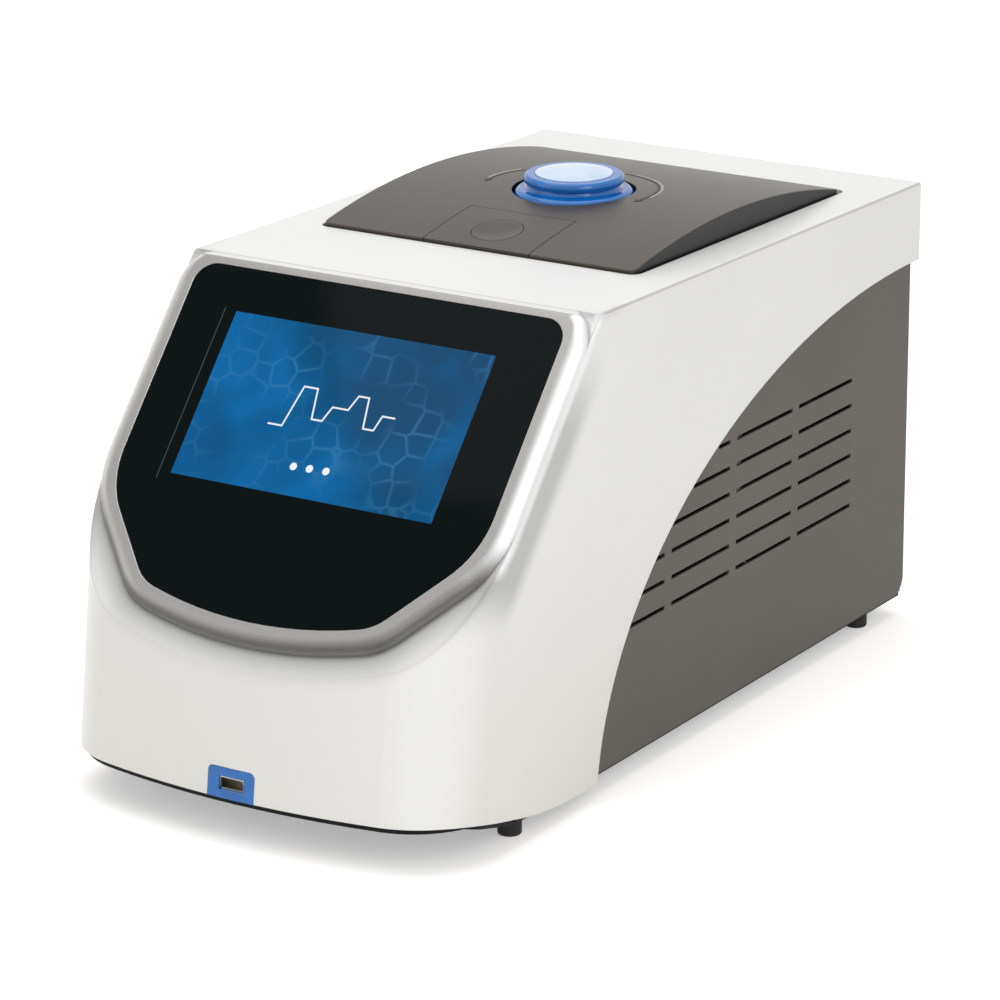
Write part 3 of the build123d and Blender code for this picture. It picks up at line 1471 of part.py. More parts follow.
# Pale domed cap let into the knob's top.
with BuildPart() as knob_cap:
    dome_rise = knob_top_z - knob_rim_z - knob_cap_edge
    dome_radius = (knob_cap_radius**2 + dome_rise**2) / (2 * dome_rise)
    with BuildSketch(Plane.XY.offset(knob_rim_z - knob_cap_seat + stack_gap)):
        with Locations((0, block_y)):
            Circle(knob_cap_radius)
    extrude(amount=knob_top_z - knob_rim_z + knob_cap_seat)
    with Locations((0, block_y, knob_top_z - dome_radius)):
        Sphere(dome_radius, mode=Mode.INTERSECT)
knob_cap.part.label = "knob_cap"
export_step(knob_cap.part, "parts/knob_cap.step")
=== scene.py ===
import math

import bmesh
import bpy
from mathutils import Matrix, Vector


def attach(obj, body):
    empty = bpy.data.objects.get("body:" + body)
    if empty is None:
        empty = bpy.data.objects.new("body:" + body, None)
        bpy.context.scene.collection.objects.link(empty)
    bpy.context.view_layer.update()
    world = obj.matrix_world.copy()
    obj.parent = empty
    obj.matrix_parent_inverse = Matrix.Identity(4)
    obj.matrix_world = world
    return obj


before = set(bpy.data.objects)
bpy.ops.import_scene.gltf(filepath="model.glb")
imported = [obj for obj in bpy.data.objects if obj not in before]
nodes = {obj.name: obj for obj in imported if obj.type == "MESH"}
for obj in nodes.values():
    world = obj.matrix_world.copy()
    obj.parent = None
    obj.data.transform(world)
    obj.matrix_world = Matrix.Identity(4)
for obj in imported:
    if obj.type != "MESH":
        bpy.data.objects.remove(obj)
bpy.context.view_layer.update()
print("frame loaded:", len(nodes), "nodes")

# The slope that carries the screen: its origin in mm and its tilt from upright.
slope = {"originY": -147.1, "originZ": 192.9, "tilt": 40.3}
blockY = 76.7  # centre of the well block, the knob and the heated plate, mm


def linear(hexText):  # sRGB hex to the linear values that the sockets take
    parts = [int(hexText[i : i + 2], 16) / 255 for i in (1, 3, 5)]
    return tuple(v / 12.92 if v <= 0.04045 else ((v + 0.055) / 1.055) ** 2.4 for v in parts) + (1.0,)


def addNode(tree, kind, settings=None, links=None):
    node = tree.nodes.new("ShaderNode" + kind)
    for key, value in (settings or {}).items():
        if isinstance(key, str) and hasattr(node, key):
            setattr(node, key, value)
        else:
            node.inputs[key].default_value = value
    for key, socket in (links or {}).items():
        tree.links.new(socket, node.inputs[key])
    return node


def maths(tree, operation, first, second=0.0, third=0.0):
    settings, links = {"operation": operation}, {}
    for index, value in enumerate((first, second, third)):
        if isinstance(value, (int, float)):
            settings[index] = value
        else:
            links[index] = value
    return addNode(tree, "Math", settings, links).outputs[0]


def newMaterial(name):
    material = bpy.data.materials.new(name)
    material.use_nodes = True
    tree = material.node_tree
    return material, tree, tree.nodes["Principled BSDF"]


# The common build-up of a finish: a tone that drifts, a grain in the gloss and a grain in the surface.
def makeFinish(name, look):
    material, tree, shader = newMaterial(name)
    place = addNode(tree, "TexCoord").outputs["Object"]
    if "stretch" in look:
        place = addNode(tree, "Mapping", {"Scale": look["stretch"]}, {"Vector": place}).outputs[0]
    drift = addNode(tree, "TexNoise", {"Scale": 1000 / look["driftMm"], "Detail": 3.0}, {"Vector": place})
    spread = addNode(tree, "MapRange", {"From Min": 0.35, "From Max": 0.65}, {"Value": drift.outputs["Fac"]})
    tone = addNode(
        tree,
        "Mix",
        {"data_type": "RGBA", 6: linear(look["colour"]), 7: linear(look["shade"])},
        {0: spread.outputs[0]},
    )
    colour = tone.outputs[2]
    if "sideColour" in look:
        # the moulding's own dark plastic shows on the cheeks, where the paint stops
        normal = addNode(tree, "TexCoord").outputs["Normal"]
        sideways = maths(tree, "ABSOLUTE", addNode(tree, "SeparateXYZ", {}, {0: normal}).outputs["X"])
        cheek = addNode(tree, "MapRange", {1: 0.55, 2: 0.8}, {0: sideways}).outputs[0]
        dark = {"data_type": "RGBA", 7: linear(look["sideColour"])}
        colour = addNode(tree, "Mix", dark, {0: cheek, 6: colour}).outputs[2]
    tree.links.new(colour, shader.inputs["Base Color"])
    grain = addNode(
        tree, "TexNoise", {"Scale": 1000 / look["grainMm"], "Detail": 2.0, "Roughness": 0.6}, {"Vector": place}
    )
    gloss = addNode(
        tree,
        "MapRange",
        {"From Min": 0.3, "From Max": 0.7, "To Min": look["rough"][0], "To Max": look["rough"][1]},
        {"Value": grain.outputs["Fac"]},
    )
    tree.links.new(gloss.outputs[0], shader.inputs["Roughness"])
    bump = addNode(
        tree,
        "Bump",
        {"Strength": look.get("relief", 0.3), "Distance": look["grainDepthMm"] / 1000},
        {"Height": grain.outputs["Fac"]},
    )
    if "edgeMm" in look:
        edge = addNode(tree, "Bevel", {"samples": 4, "Radius": look["edgeMm"] / 1000})
        tree.links.new(edge.outputs[0], bump.inputs["Normal"])
    tree.links.new(bump.outputs[0], shader.inputs["Normal"])
    for socket, value in look.get("sockets", {}).items():
        shader.inputs[socket].default_value = value
    return material


def softStep(tree, value, edge, blur):  # 1 below the edge, 0 above it
    span = {"interpolation_type": "SMOOTHSTEP", 1: edge - blur, 2: edge + blur, 3: 1.0, 4: 0.0}
    return addNode(tree, "MapRange", span, {0: value}).outputs[0]


# Where a shading point lies on the slope: across, up the slope and out of it, in mm.
def slopePlace(tree):
    tilt = math.radians(slope["tilt"])
    place = addNode(tree, "TexCoord").outputs["Object"]
    start = (0, slope["originY"] / 1000, slope["originZ"] / 1000)
    offset = addNode(tree, "VectorMath", {"operation": "SUBTRACT", 1: start}, {0: place}).outputs[0]
    axes = {
        "across": (1000, 0, 0),
        "up": (0, 1000 * math.sin(tilt), 1000 * math.cos(tilt)),
        "out": (0, -1000 * math.cos(tilt), 1000 * math.sin(tilt)),
    }
    return {
        name: addNode(tree, "VectorMath", {"operation": "DOT_PRODUCT", 1: axis}, {0: offset}).outputs["Value"]
        for name, axis in axes.items()
    }


# Distance in mm outside the glass's shield outline: straight sides, slanted shoulders, bowed foot.
glassShape = {"half": 108.0, "top": 68.0, "kneeUp": -54.9, "lowAcross": 67.5, "lowUp": -101.0, "foot": -110.9}


def outsideGlass(tree, place):
    across = maths(tree, "ABSOLUTE", place["across"])
    up = place["up"]
    run = (glassShape["half"] - glassShape["lowAcross"], glassShape["kneeUp"] - glassShape["lowUp"])
    length = math.hypot(*run)
    sides = maths(tree, "SUBTRACT", across, glassShape["half"])
    top = maths(tree, "SUBTRACT", up, glassShape["top"])
    slantAcross = maths(tree, "MULTIPLY", sides, run[1] / length)
    slantUp = maths(tree, "MULTIPLY", maths(tree, "SUBTRACT", up, glassShape["kneeUp"]), -run[0] / length)
    slant = maths(tree, "ADD", slantAcross, slantUp)
    sag = glassShape["lowUp"] - glassShape["foot"]
    bow = (glassShape["lowAcross"] ** 2 + sag**2) / (2 * sag)
    fromCentre = maths(tree, "SUBTRACT", up, glassShape["foot"] + bow)
    square = maths(tree, "ADD", maths(tree, "POWER", across, 2.0), maths(tree, "POWER", fromCentre, 2.0))
    reach = maths(tree, "SUBTRACT", maths(tree, "SQRT", square), bow)
    foot = maths(tree, "MULTIPLY", reach, maths(tree, "LESS_THAN", up, 0.0))
    outside = maths(tree, "MAXIMUM", sides, top)
    outside = maths(tree, "SMOOTH_MAX", outside, slant, 8.0)
    return maths(tree, "SMOOTH_MAX", outside, foot, 6.0)


# Two-coat metallic paint on moulded ABS: silver on the raised rim, pearl white elsewhere, under satin lacquer;
# painted highlights, painted shade and painted bounce light are mixed into its colour.
shellLook = {
    "white": "#E2E2E0",
    "whiteShade": "#DADAD8",
    # warm tone painted in as bounce light from the floor at the foot of the nose
    "paintedLightTone": "#DAD5CB",
    "silver": "#989694",
    "silverShade": "#8F8D8B",
    # painted highlights on the silver where it faces right and left, painted shade where it looks down
    "silverPaintedHighlightRight": "#E8E9EA",
    "silverPaintedHighlightLeft": "#F0ECE8",
    "silverPaintedShadeLow": "#5A5853",
    # painted shade on the white beside the rim
    "paintedShadeBesideRim": "#B2B3B0",
    "edgeTone": "#B9B8B4",
    # painted highlight on the nose
    "nosePaintedHighlight": "#EAEAE8",
    "silverToMm": 11.75,
    "silverFadeMm": 2.25,
    "rimDepthMm": 10.5,
    "rimLipMm": 1.4,
    "levelAt": 0.96,
    "metallic": 0.75,
    "paintedBounceToM": 0.16,
    "driftMm": 90.0,
    "flakeMm": 0.45,
    "peelMm": 1.6,
    "peelDepthMm": 0.02,
    "edgeMm": 0.5,
    "shoulderMm": 6.5,
    "blendToMm": 26.0,
    "rough": (0.3, 0.38),
}


def shellPaint():
    look = shellLook
    material, tree, shader = newMaterial("metallicPaintOnAbs")
    place = slopePlace(tree)
    outside = outsideGlass(tree, place)
    objectPlace = addNode(tree, "TexCoord").outputs["Object"]
    onRim = softStep(tree, outside, look["silverToMm"], look["silverFadeMm"])
    proud = softStep(tree, maths(tree, "MULTIPLY", place["out"], -1.0), look["rimDepthMm"], 2.5)
    facing = addNode(tree, "SeparateXYZ", {}, {0: addNode(tree, "NewGeometry").outputs["True Normal"]})
    flat = softStep(tree, facing.outputs["Z"], look["levelAt"], 0.03)
    # the silver turns over the slope's upper edge by a lip's width
    lip = softStep(tree, maths(tree, "MULTIPLY", place["out"], -1.0), look["rimLipMm"], 0.3)
    flat = maths(tree, "MAXIMUM", flat, lip)
    silverShare = maths(tree, "MULTIPLY", maths(tree, "MULTIPLY", onRim, proud), flat)
    drift = addNode(tree, "TexNoise", {"Scale": 1000 / look["driftMm"], "Detail": 2.0}, {"Vector": objectPlace})
    flake = addNode(tree, "TexVoronoi", {"Scale": 1000 / look["flakeMm"]}, {"Vector": objectPlace})
    flakeTone = addNode(tree, "SeparateColor", {}, {0: flake.outputs["Color"]}).outputs[0]
    white = addNode(
        tree,
        "Mix",
        {"data_type": "RGBA", 6: linear(look["white"]), 7: linear(look["whiteShade"])},
        {0: drift.outputs["Fac"]},
    )
    # painted bounce light: the foot of the nose is painted a little warmer, standing in for the floor's light on
    # it
    height = addNode(tree, "SeparateXYZ", {}, {0: objectPlace}).outputs["Z"]
    paintedBounceShare = addNode(tree, "MapRange", {2: look["paintedBounceToM"], 3: 0.55, 4: 0.0}, {0: height}).outputs[0]
    paintedLightTone = addNode(
        tree, "Mix", {"data_type": "RGBA", 7: linear(look["paintedLightTone"])}, {0: paintedBounceShare, 6: white.outputs[2]}
    )
    # painted highlight over the nose: a broad gleam right of its middle, set by which way the surface faces
    bowed = addNode(tree, "SeparateXYZ", {}, {0: addNode(tree, "NewGeometry").outputs["Normal"]})
    sweep = {"interpolation_type": "SMOOTHSTEP", 1: -0.2, 2: 0.5}
    nosePaintedHighlight = addNode(tree, "MapRange", sweep, {0: bowed.outputs["X"]}).outputs[0]
    lit = maths(tree, "MULTIPLY", nosePaintedHighlight, softStep(tree, bowed.outputs["Y"], -0.5, 0.3))
    paintedLightTone = addNode(
        tree, "Mix", {"data_type": "RGBA", 7: linear(look["nosePaintedHighlight"])}, {0: lit, 6: paintedLightTone.outputs[2]}
    )
    silver = addNode(
        tree,
        "Mix",
        {"data_type": "RGBA", 6: linear(look["silver"]), 7: linear(look["silverShade"])},
        {0: flakeTone},
    )
    # round the rim every edge is blended softly, as the moulding's shoulder is
    near = softStep(tree, outside, look["blendToMm"], 6.0)
    away = softStep(tree, maths(tree, "MULTIPLY", outside, -1.0), -3.5, 1.5)
    shallow = softStep(tree, maths(tree, "MULTIPLY", place["out"], -1.0), look["blendToMm"], 6.0)
    soft = maths(tree, "MULTIPLY", maths(tree, "MULTIPLY", near, away), shallow)
    radius = maths(tree, "MULTIPLY_ADD", soft, look["shoulderMm"] / 1000, look["edgeMm"] / 1000)
    edge = addNode(tree, "Bevel", {"samples": 4}, {"Radius": radius})
    # painted highlight and painted shade on the silver roll, by which way it faces: lighter to the right and to
    # the left, darker where it looks down
    turn = addNode(tree, "SeparateXYZ", {}, {0: edge.outputs[0]})
    tilt = math.radians(slope["tilt"])
    downSlope = (0, -math.sin(tilt), -math.cos(tilt))
    dip = addNode(tree, "VectorMath", {"operation": "DOT_PRODUCT", 1: downSlope}, {0: edge.outputs[0]})
    silverWithPaintedLight = silver.outputs[2]
    paintedLightByFacing = {
        "silverPaintedHighlightRight": turn.outputs["X"],
        "silverPaintedHighlightLeft": maths(tree, "MULTIPLY", turn.outputs["X"], -1.0),
        "silverPaintedShadeLow": dip.outputs["Value"],
    }
    for name, lean in paintedLightByFacing.items():
        ease = {"interpolation_type": "SMOOTHSTEP", 1: 0.02, 2: 0.45}
        share = addNode(tree, "MapRange", ease, {0: lean}).outputs[0]
        tone = {"data_type": "RGBA", 7: linear(look[name])}
        silverWithPaintedLight = addNode(tree, "Mix", tone, {0: share, 6: silverWithPaintedLight}).outputs[2]
    # painted shade: the white is darkened where it meets the roll
    paintedShadeRing = maths(tree, "MULTIPLY", softStep(tree, outside, 20.0, 9.0), shallow)
    paintedShadeRing = maths(tree, "MULTIPLY", paintedShadeRing, softStep(tree, place["up"], 40.0, 30.0))
    shaded = addNode(
        tree, "Mix", {"data_type": "RGBA", 7: linear(look["paintedShadeBesideRim"])}, {0: paintedShadeRing, 6: paintedLightTone.outputs[2]}
    ).outputs[2]
    # a grey line along the rounded long edges between the top and the sides
    fold = softStep(tree, maths(tree, "ABSOLUTE", maths(tree, "SUBTRACT", facing.outputs["Z"], 0.62)), 0.3, 0.05)
    sideways = softStep(tree, maths(tree, "ABSOLUTE", facing.outputs["Y"]), 0.3, 0.1)
    fold = maths(tree, "MULTIPLY", fold, sideways)
    shaded = addNode(
        tree, "Mix", {"data_type": "RGBA", 7: linear(look["edgeTone"])}, {0: fold, 6: shaded}
    ).outputs[2]
    colour = addNode(tree, "Mix", {"data_type": "RGBA"}, {0: silverShare, 6: shaded, 7: silverWithPaintedLight})
    tree.links.new(colour.outputs[2], shader.inputs["Base Color"])
    metal = maths(tree, "MULTIPLY", silverShare, look["metallic"])
    tree.links.new(metal, shader.inputs["Metallic"])
    rough = addNode(
        tree, "MapRange", {3: look["rough"][0], 4: look["rough"][1]}, {0: flakeTone}
    ).outputs[0]
    tree.links.new(rough, shader.inputs["Roughness"])
    peel = addNode(tree, "TexNoise", {"Scale": 1000 / look["peelMm"], "Detail": 1.0}, {"Vector": objectPlace})
    bump = addNode(
        tree,
        "Bump",
        {"Strength": 0.25, "Distance": look["peelDepthMm"] / 1000},
        {"Height": peel.outputs["Fac"], "Normal": edge.outputs[0]},
    )
    tree.links.new(bump.outputs[0], shader.inputs["Normal"])
    shader.inputs["Coat Weight"].default_value = 0.25
    shader.inputs["Coat Roughness"].default_value = 0.18
    return material


# Capacitive touch glass: black print behind clear glass, with a window for the lit display.
screenLook = {
    "print": "#020A0B",
    "deep": "#0C4A74",
    "mid": "#035688",
    "bright": "#0668A8",
    "cell": "#3F86B8",
    "white": "#F4F9FD",
    "frame": "#36444B",
    "frameLine": {"across": -83.2, "top": 46.0, "foot": -48.5, "halfWidth": 0.3},
    "shift": 0.0,
    "halfWidth": 76.2,
    "halfHeight": 44.7,
    "dots": [(-9.6, -29.5), (-0.3, -29.2), (9.2, -28.9)],
    "dotRadius": 2.0,
    "glow": 0.95,
}
# a run's temperature steps, as a plain line chart: points in mm on the slope
chartLine = [(-33, -10), (-25, -10), (-21, 12), (-13, 12), (-10, -4), (-4, -4), (-1, 4), (8, 4)]
chartLine += [(11, 12), (17, 12), (20, -4), (26, -4), (28, 4), (35, 4)]


def lineDistance(tree, across, up, points):
    nearest = None
    for (ax, ay), (bx, by) in zip(points, points[1:]):
        length = math.hypot(bx - ax, by - ay)
        dx, dy = (bx - ax) / length, (by - ay) / length
        px, py = maths(tree, "SUBTRACT", across, ax), maths(tree, "SUBTRACT", up, ay)
        along = maths(tree, "ADD", maths(tree, "MULTIPLY", px, dx), maths(tree, "MULTIPLY", py, dy))
        kept = maths(tree, "MINIMUM", maths(tree, "MAXIMUM", along, 0.0), length)
        offX = maths(tree, "SUBTRACT", px, maths(tree, "MULTIPLY", kept, dx))
        offY = maths(tree, "SUBTRACT", py, maths(tree, "MULTIPLY", kept, dy))
        square = maths(tree, "ADD", maths(tree, "POWER", offX, 2.0), maths(tree, "POWER", offY, 2.0))
        distance = maths(tree, "SQRT", square)
        nearest = distance if nearest is None else maths(tree, "MINIMUM", nearest, distance)
    return nearest


def touchGlass():
    look = screenLook
    material, tree, shader = newMaterial("backPrintedTouchGlass")
    place = slopePlace(tree)
    across, up = place["across"], place["up"]
    fromMiddle = maths(tree, "ABSOLUTE", maths(tree, "SUBTRACT", across, look["shift"]))
    inWidth = softStep(tree, fromMiddle, look["halfWidth"], 0.15)
    inHeight = softStep(tree, maths(tree, "ABSOLUTE", up), look["halfHeight"], 0.15)
    lit = maths(tree, "MULTIPLY", inWidth, inHeight)
    flat = addNode(tree, "CombineXYZ", {}, {0: across, 1: up}).outputs[0]
    # the picture: a blue ground in soft clouds, with a pale cell pattern that fades in and out
    cloud = addNode(tree, "TexNoise", {"Scale": 1 / 46, "Detail": 1.0, "Distortion": 0.6}, {"Vector": flat})
    slant = maths(tree, "ADD", up, across)
    lean = addNode(tree, "MapRange", {1: 60.0, 2: -60.0, 3: -0.18, 4: 0.24}, {0: slant})
    shade = maths(tree, "ADD", cloud.outputs["Fac"], lean.outputs[0])
    ground = addNode(tree, "ValToRGB", {}, {0: shade})
    ramp = ground.color_ramp
    ramp.elements[0].position, ramp.elements[0].color = 0.28, linear(look["deep"])
    ramp.elements[1].position, ramp.elements[1].color = 0.78, linear(look["bright"])
    ramp.elements.new(0.52).color = linear(look["mid"])
    cells = addNode(
        tree, "TexVoronoi", {"feature": "DISTANCE_TO_EDGE", "Scale": 1 / 13, "Randomness": 0.55}, {"Vector": flat}
    )
    wall = softStep(tree, cells.outputs["Distance"], 0.05, 0.05)
    where = addNode(tree, "TexNoise", {"Scale": 1 / 34, "Detail": 0.0}, {"Vector": flat})
    cellShare = addNode(tree, "MapRange", {1: 0.45, 2: 0.7, 3: 0.0, 4: 0.42}, {0: where.outputs["Fac"]})
    wallShare = maths(tree, "MULTIPLY", wall, cellShare.outputs[0])
    picture = addNode(
        tree, "Mix", {"data_type": "RGBA", 7: linear(look["cell"])}, {0: wallShare, 6: ground.outputs[0]}
    ).outputs[2]
    marks = softStep(tree, lineDistance(tree, across, up, chartLine), 0.45, 0.15)
    for dotAcross, dotUp in look["dots"]:
        dx = maths(tree, "POWER", maths(tree, "SUBTRACT", across, dotAcross), 2.0)
        dy = maths(tree, "POWER", maths(tree, "SUBTRACT", up, dotUp), 2.0)
        dot = softStep(tree, maths(tree, "SQRT", maths(tree, "ADD", dx, dy)), look["dotRadius"], 0.15)
        marks = maths(tree, "MAXIMUM", marks, dot)
    picture = addNode(
        tree, "Mix", {"data_type": "RGBA", 7: linear(look["white"])}, {0: marks, 6: picture}
    ).outputs[2]
    # the display's steel frame shows as a hairline beside the window
    line = look["frameLine"]
    beside = maths(tree, "ABSOLUTE", maths(tree, "SUBTRACT", across, line["across"]))
    fromCentre = maths(tree, "ABSOLUTE", maths(tree, "SUBTRACT", up, (line["top"] + line["foot"]) / 2))
    hair = softStep(tree, beside, line["halfWidth"], 0.2)
    hair = maths(tree, "MULTIPLY", hair, softStep(tree, fromCentre, (line["top"] - line["foot"]) / 2, 0.5))
    border = addNode(
        tree, "Mix", {"data_type": "RGBA", 6: linear(look["print"]), 7: linear(look["frame"])}, {0: hair}
    ).outputs[2]
    base = addNode(tree, "Mix", {"data_type": "RGBA", 7: linear("#020303")}, {0: lit, 6: border})
    tree.links.new(base.outputs[2], shader.inputs["Base Color"])
    tree.links.new(picture, shader.inputs["Emission Color"])
    tree.links.new(maths(tree, "MULTIPLY", lit, look["glow"]), shader.inputs["Emission Strength"])
    smear = addNode(tree, "TexNoise", {"Scale": 1 / 18, "Detail": 4.0}, {"Vector": flat})
    rough = addNode(tree, "MapRange", {1: 0.35, 2: 0.7, 3: 0.03, 4: 0.09}, {0: smear.outputs["Fac"]})
    tree.links.new(rough.outputs[0], shader.inputs["Roughness"])
    edge = addNode(tree, "Bevel", {"samples": 4, "Radius": 0.0004})
    tree.links.new(edge.outputs[0], shader.inputs["Normal"])
    shader.inputs["Specular IOR Level"].default_value = 0.05
    return material


# Moulded ABS under satin paint: even and warm grey, with a fine spark-eroded grain.
lidLook = {
    "colour": "#403931",
    "shade": "#3B352E",
    "sideColour": "#0E1011",
    "driftMm": 70.0,
    "grainMm": 0.9,
    "grainDepthMm": 0.05,
    "rough": (0.32, 0.42),
    "edgeMm": 0.4,
    "sockets": {"Specular IOR Level": 0.42},
}
# Folded steel sheet with a textured powder coat, darker than the lid.
panelLook = {
    "colour": "#4B453D",
    "shade": "#454038",
    "driftMm": 110.0,
    "grainMm": 0.8,
    "grainDepthMm": 0.04,
    "rough": (0.42, 0.5),
    "edgeMm": 0.3,
}
# Black powder coat on the floor tray.
trayLook = {
    "colour": "#121415",
    "shade": "#0E0F10",
    "driftMm": 60.0,
    "grainMm": 0.7,
    "grainDepthMm": 0.05,
    "rough": (0.5, 0.62),
    "sockets": {"Specular IOR Level": 0.15},
}
# Nitrile rubber: matt, with a dusty bloom.
rubberLook = {
    "colour": "#1A1918",
    "shade": "#262422",
    "driftMm": 6.0,
    "grainMm": 0.5,
    "grainDepthMm": 0.05,
    "rough": (0.7, 0.85),
}
# Tinted polycarbonate, injection moulded and polished: light goes a little way in.
bluePlasticLook = {
    "colour": "#136DBB",
    "shade": "#0E60AC",
    "driftMm": 16.0,
    "grainMm": 2.0,
    "grainDepthMm": 0.01,
    "rough": (0.1, 0.16),
    "edgeMm": 0.3,
    "sockets": {
        "Subsurface Weight": 0.15,
        "Subsurface Radius": (0.0008, 0.002, 0.006),
        "Specular IOR Level": 0.4,
        "Coat Weight": 0.2,
        "Coat Roughness": 0.05,
    },
}
paleCapLook = {
    "colour": "#C2D4E8",
    "shade": "#AFC8E4",
    "driftMm": 14.0,
    "grainMm": 2.0,
    "grainDepthMm": 0.01,
    "rough": (0.08, 0.14),
    "edgeMm": 0.3,
    "sockets": {"Coat Weight": 0.6, "Coat Roughness": 0.04},
}
# Glass-filled nylon on the well deck: dull, with a visible moulding grain.
deckLook = {
    "colour": "#4A4744",
    "shade": "#43403D",
    "driftMm": 50.0,
    "grainMm": 1.0,
    "grainDepthMm": 0.06,
    "rough": (0.5, 0.62),
    "edgeMm": 0.4,
}
# Bead-blasted aluminium: pale and soft in its shine.
blastedLook = {
    "colour": "#C6C8CA",
    "shade": "#B9BBBD",
    "driftMm": 24.0,
    "grainMm": 0.35,
    "grainDepthMm": 0.03,
    "rough": (0.36, 0.5),
    "edgeMm": 0.2,
    "sockets": {"Metallic": 1.0},
}
# Extruded aluminium: die lines run along the fins.
extrudedLook = {
    "colour": "#B4B6B8",
    "shade": "#A6A8AB",
    "driftMm": 20.0,
    "grainMm": 0.6,
    "grainDepthMm": 0.03,
    "rough": (0.3, 0.45),
    "stretch": (1, 0.04, 1),
    "sockets": {"Metallic": 1.0},
}
# Zinc-plated sheet steel: rolled, with a faint spangle.
zincLook = {
    "colour": "#A7AAAC",
    "shade": "#949799",
    "driftMm": 9.0,
    "grainMm": 1.4,
    "grainDepthMm": 0.02,
    "rough": (0.28, 0.42),
    "edgeMm": 0.2,
    "sockets": {"Metallic": 1.0},
}
# Turned steel: tool marks round the axis, finely ground.
turnedLook = {
    "colour": "#BFC1C3",
    "shade": "#AEB0B2",
    "driftMm": 8.0,
    "grainMm": 0.4,
    "grainDepthMm": 0.01,
    "rough": (0.2, 0.32),
    "edgeMm": 0.2,
    "sockets": {"Metallic": 1.0},
}
# Nickel-plated brass contacts: bright and slightly warm.
nickelLook = {
    "colour": "#C9C6BE",
    "shade": "#BDB9B0",
    "driftMm": 5.0,
    "grainMm": 0.4,
    "grainDepthMm": 0.01,
    "rough": (0.14, 0.24),
    "edgeMm": 0.1,
    "sockets": {"Metallic": 1.0},
}
# Oiled sintered bronze: porous and brown-gold.
bronzeLook = {
    "colour": "#9C7438",
    "shade": "#83602C",
    "driftMm": 3.0,
    "grainMm": 0.25,
    "grainDepthMm": 0.03,
    "rough": (0.35, 0.5),
    "sockets": {"Metallic": 1.0},
}
# Black PBT of the fans and the inlet: moulded, slightly glossy.
blackPlasticLook = {
    "colour": "#1E1E1F",
    "shade": "#191919",
    "driftMm": 25.0,
    "grainMm": 0.7,
    "grainDepthMm": 0.03,
    "rough": (0.32, 0.44),
    "edgeMm": 0.3,
}
# Solder mask over copper: deep green with faint tracks under it.
boardLook = {
    "colour": "#1C5A36",
    "shade": "#24683F",
    "driftMm": 1.8,
    "grainMm": 1.2,
    "grainDepthMm": 0.03,
    "rough": (0.28, 0.4),
}
# Alumina ceramic of the cooling modules: dead white and chalky.
ceramicLook = {
    "colour": "#ECE9E2",
    "shade": "#E2DED5",
    "driftMm": 12.0,
    "grainMm": 0.4,
    "grainDepthMm": 0.02,
    "rough": (0.55, 0.68),
}
# Silicone gasket: milky and soft.
siliconeLook = {
    "colour": "#C9C6BF",
    "shade": "#BDB9B1",
    "driftMm": 9.0,
    "grainMm": 0.6,
    "grainDepthMm": 0.03,
    "rough": (0.5, 0.6),
    "sockets": {"Subsurface Weight": 0.2, "Subsurface Radius": (0.002, 0.0018, 0.0015)},
}
# Polyimide heater film: amber, with etched tracks showing as bands.
heaterLook = {
    "colour": "#B4662B",
    "shade": "#8A4A1E",
    "driftMm": 3.0,
    "grainMm": 1.5,
    "grainDepthMm": 0.03,
    "rough": (0.25, 0.35),
    "stretch": (0.2, 1, 1),
}
# Hard-anodised aluminium of the heated plate: dark grey and even.
hardAnodLook = {
    "colour": "#5C5E60",
    "shade": "#525456",
    "driftMm": 30.0,
    "grainMm": 0.35,
    "grainDepthMm": 0.02,
    "rough": (0.34, 0.44),
    "edgeMm": 0.3,
    "sockets": {"Metallic": 0.6},
}
# Fuse: clear glass tube, drawn plain.
fuseLook = {
    "colour": "#DDE4E6",
    "shade": "#D2DADC",
    "driftMm": 6.0,
    "grainMm": 1.0,
    "grainDepthMm": 0.01,
    "rough": (0.04, 0.08),
    "sockets": {"Transmission Weight": 0.7, "IOR": 1.5},
}

# Painted shadow and painted highlight for the lid's engraved arrow grooves: a dark and dull tone for the shade in
# the groove, and a pale one for the gleam of its lit wall.
grooveShadowLook = {
    "colour": "#1C1A18",
    "shade": "#171513",
    "driftMm": 8.0,
    "grainMm": 0.6,
    "grainDepthMm": 0.01,
    "rough": (0.5, 0.6),
}

grooveHighlightLook = {
    "colour": "#A39C92",
    "shade": "#989187",
    "driftMm": 8.0,
    "grainMm": 0.6,
    "grainDepthMm": 0.01,
    "rough": (0.45, 0.55),
}

finishes = {
    "paintedGrooveShadow": grooveShadowLook,
    "paintedGrooveHighlight": grooveHighlightLook,
    "satinPaintOnAbs": lidLook,
    "powderCoatedSteel": panelLook,
    "blackPowderCoat": trayLook,
    "nitrileRubber": rubberLook,
    "tintedPolycarbonate": bluePlasticLook,
    "palePolycarbonate": paleCapLook,
    "glassFilledNylon": deckLook,
    "beadBlastedAluminium": blastedLook,
    "extrudedAluminium": extrudedLook,
    "zincPlatedSteel": zincLook,
    "turnedSteel": turnedLook,
    "nickelPlate": nickelLook,
    "sinteredBronze": bronzeLook,
    "blackPbt": blackPlasticLook,
    "solderMask": boardLook,
    "aluminaCeramic": ceramicLook,
    "siliconeRubber": siliconeLook,
    "polyimideFilm": heaterLook,
    "hardAnodisedAluminium": hardAnodLook,
    "drawnGlass": fuseLook,
}
materials = {name: makeFinish(name, look) for name, look in finishes.items()}
materials["metallicPaintOnAbs"] = shellPaint()
materials["backPrintedTouchGlass"] = touchGlass()
print("materials made:", len(materials))

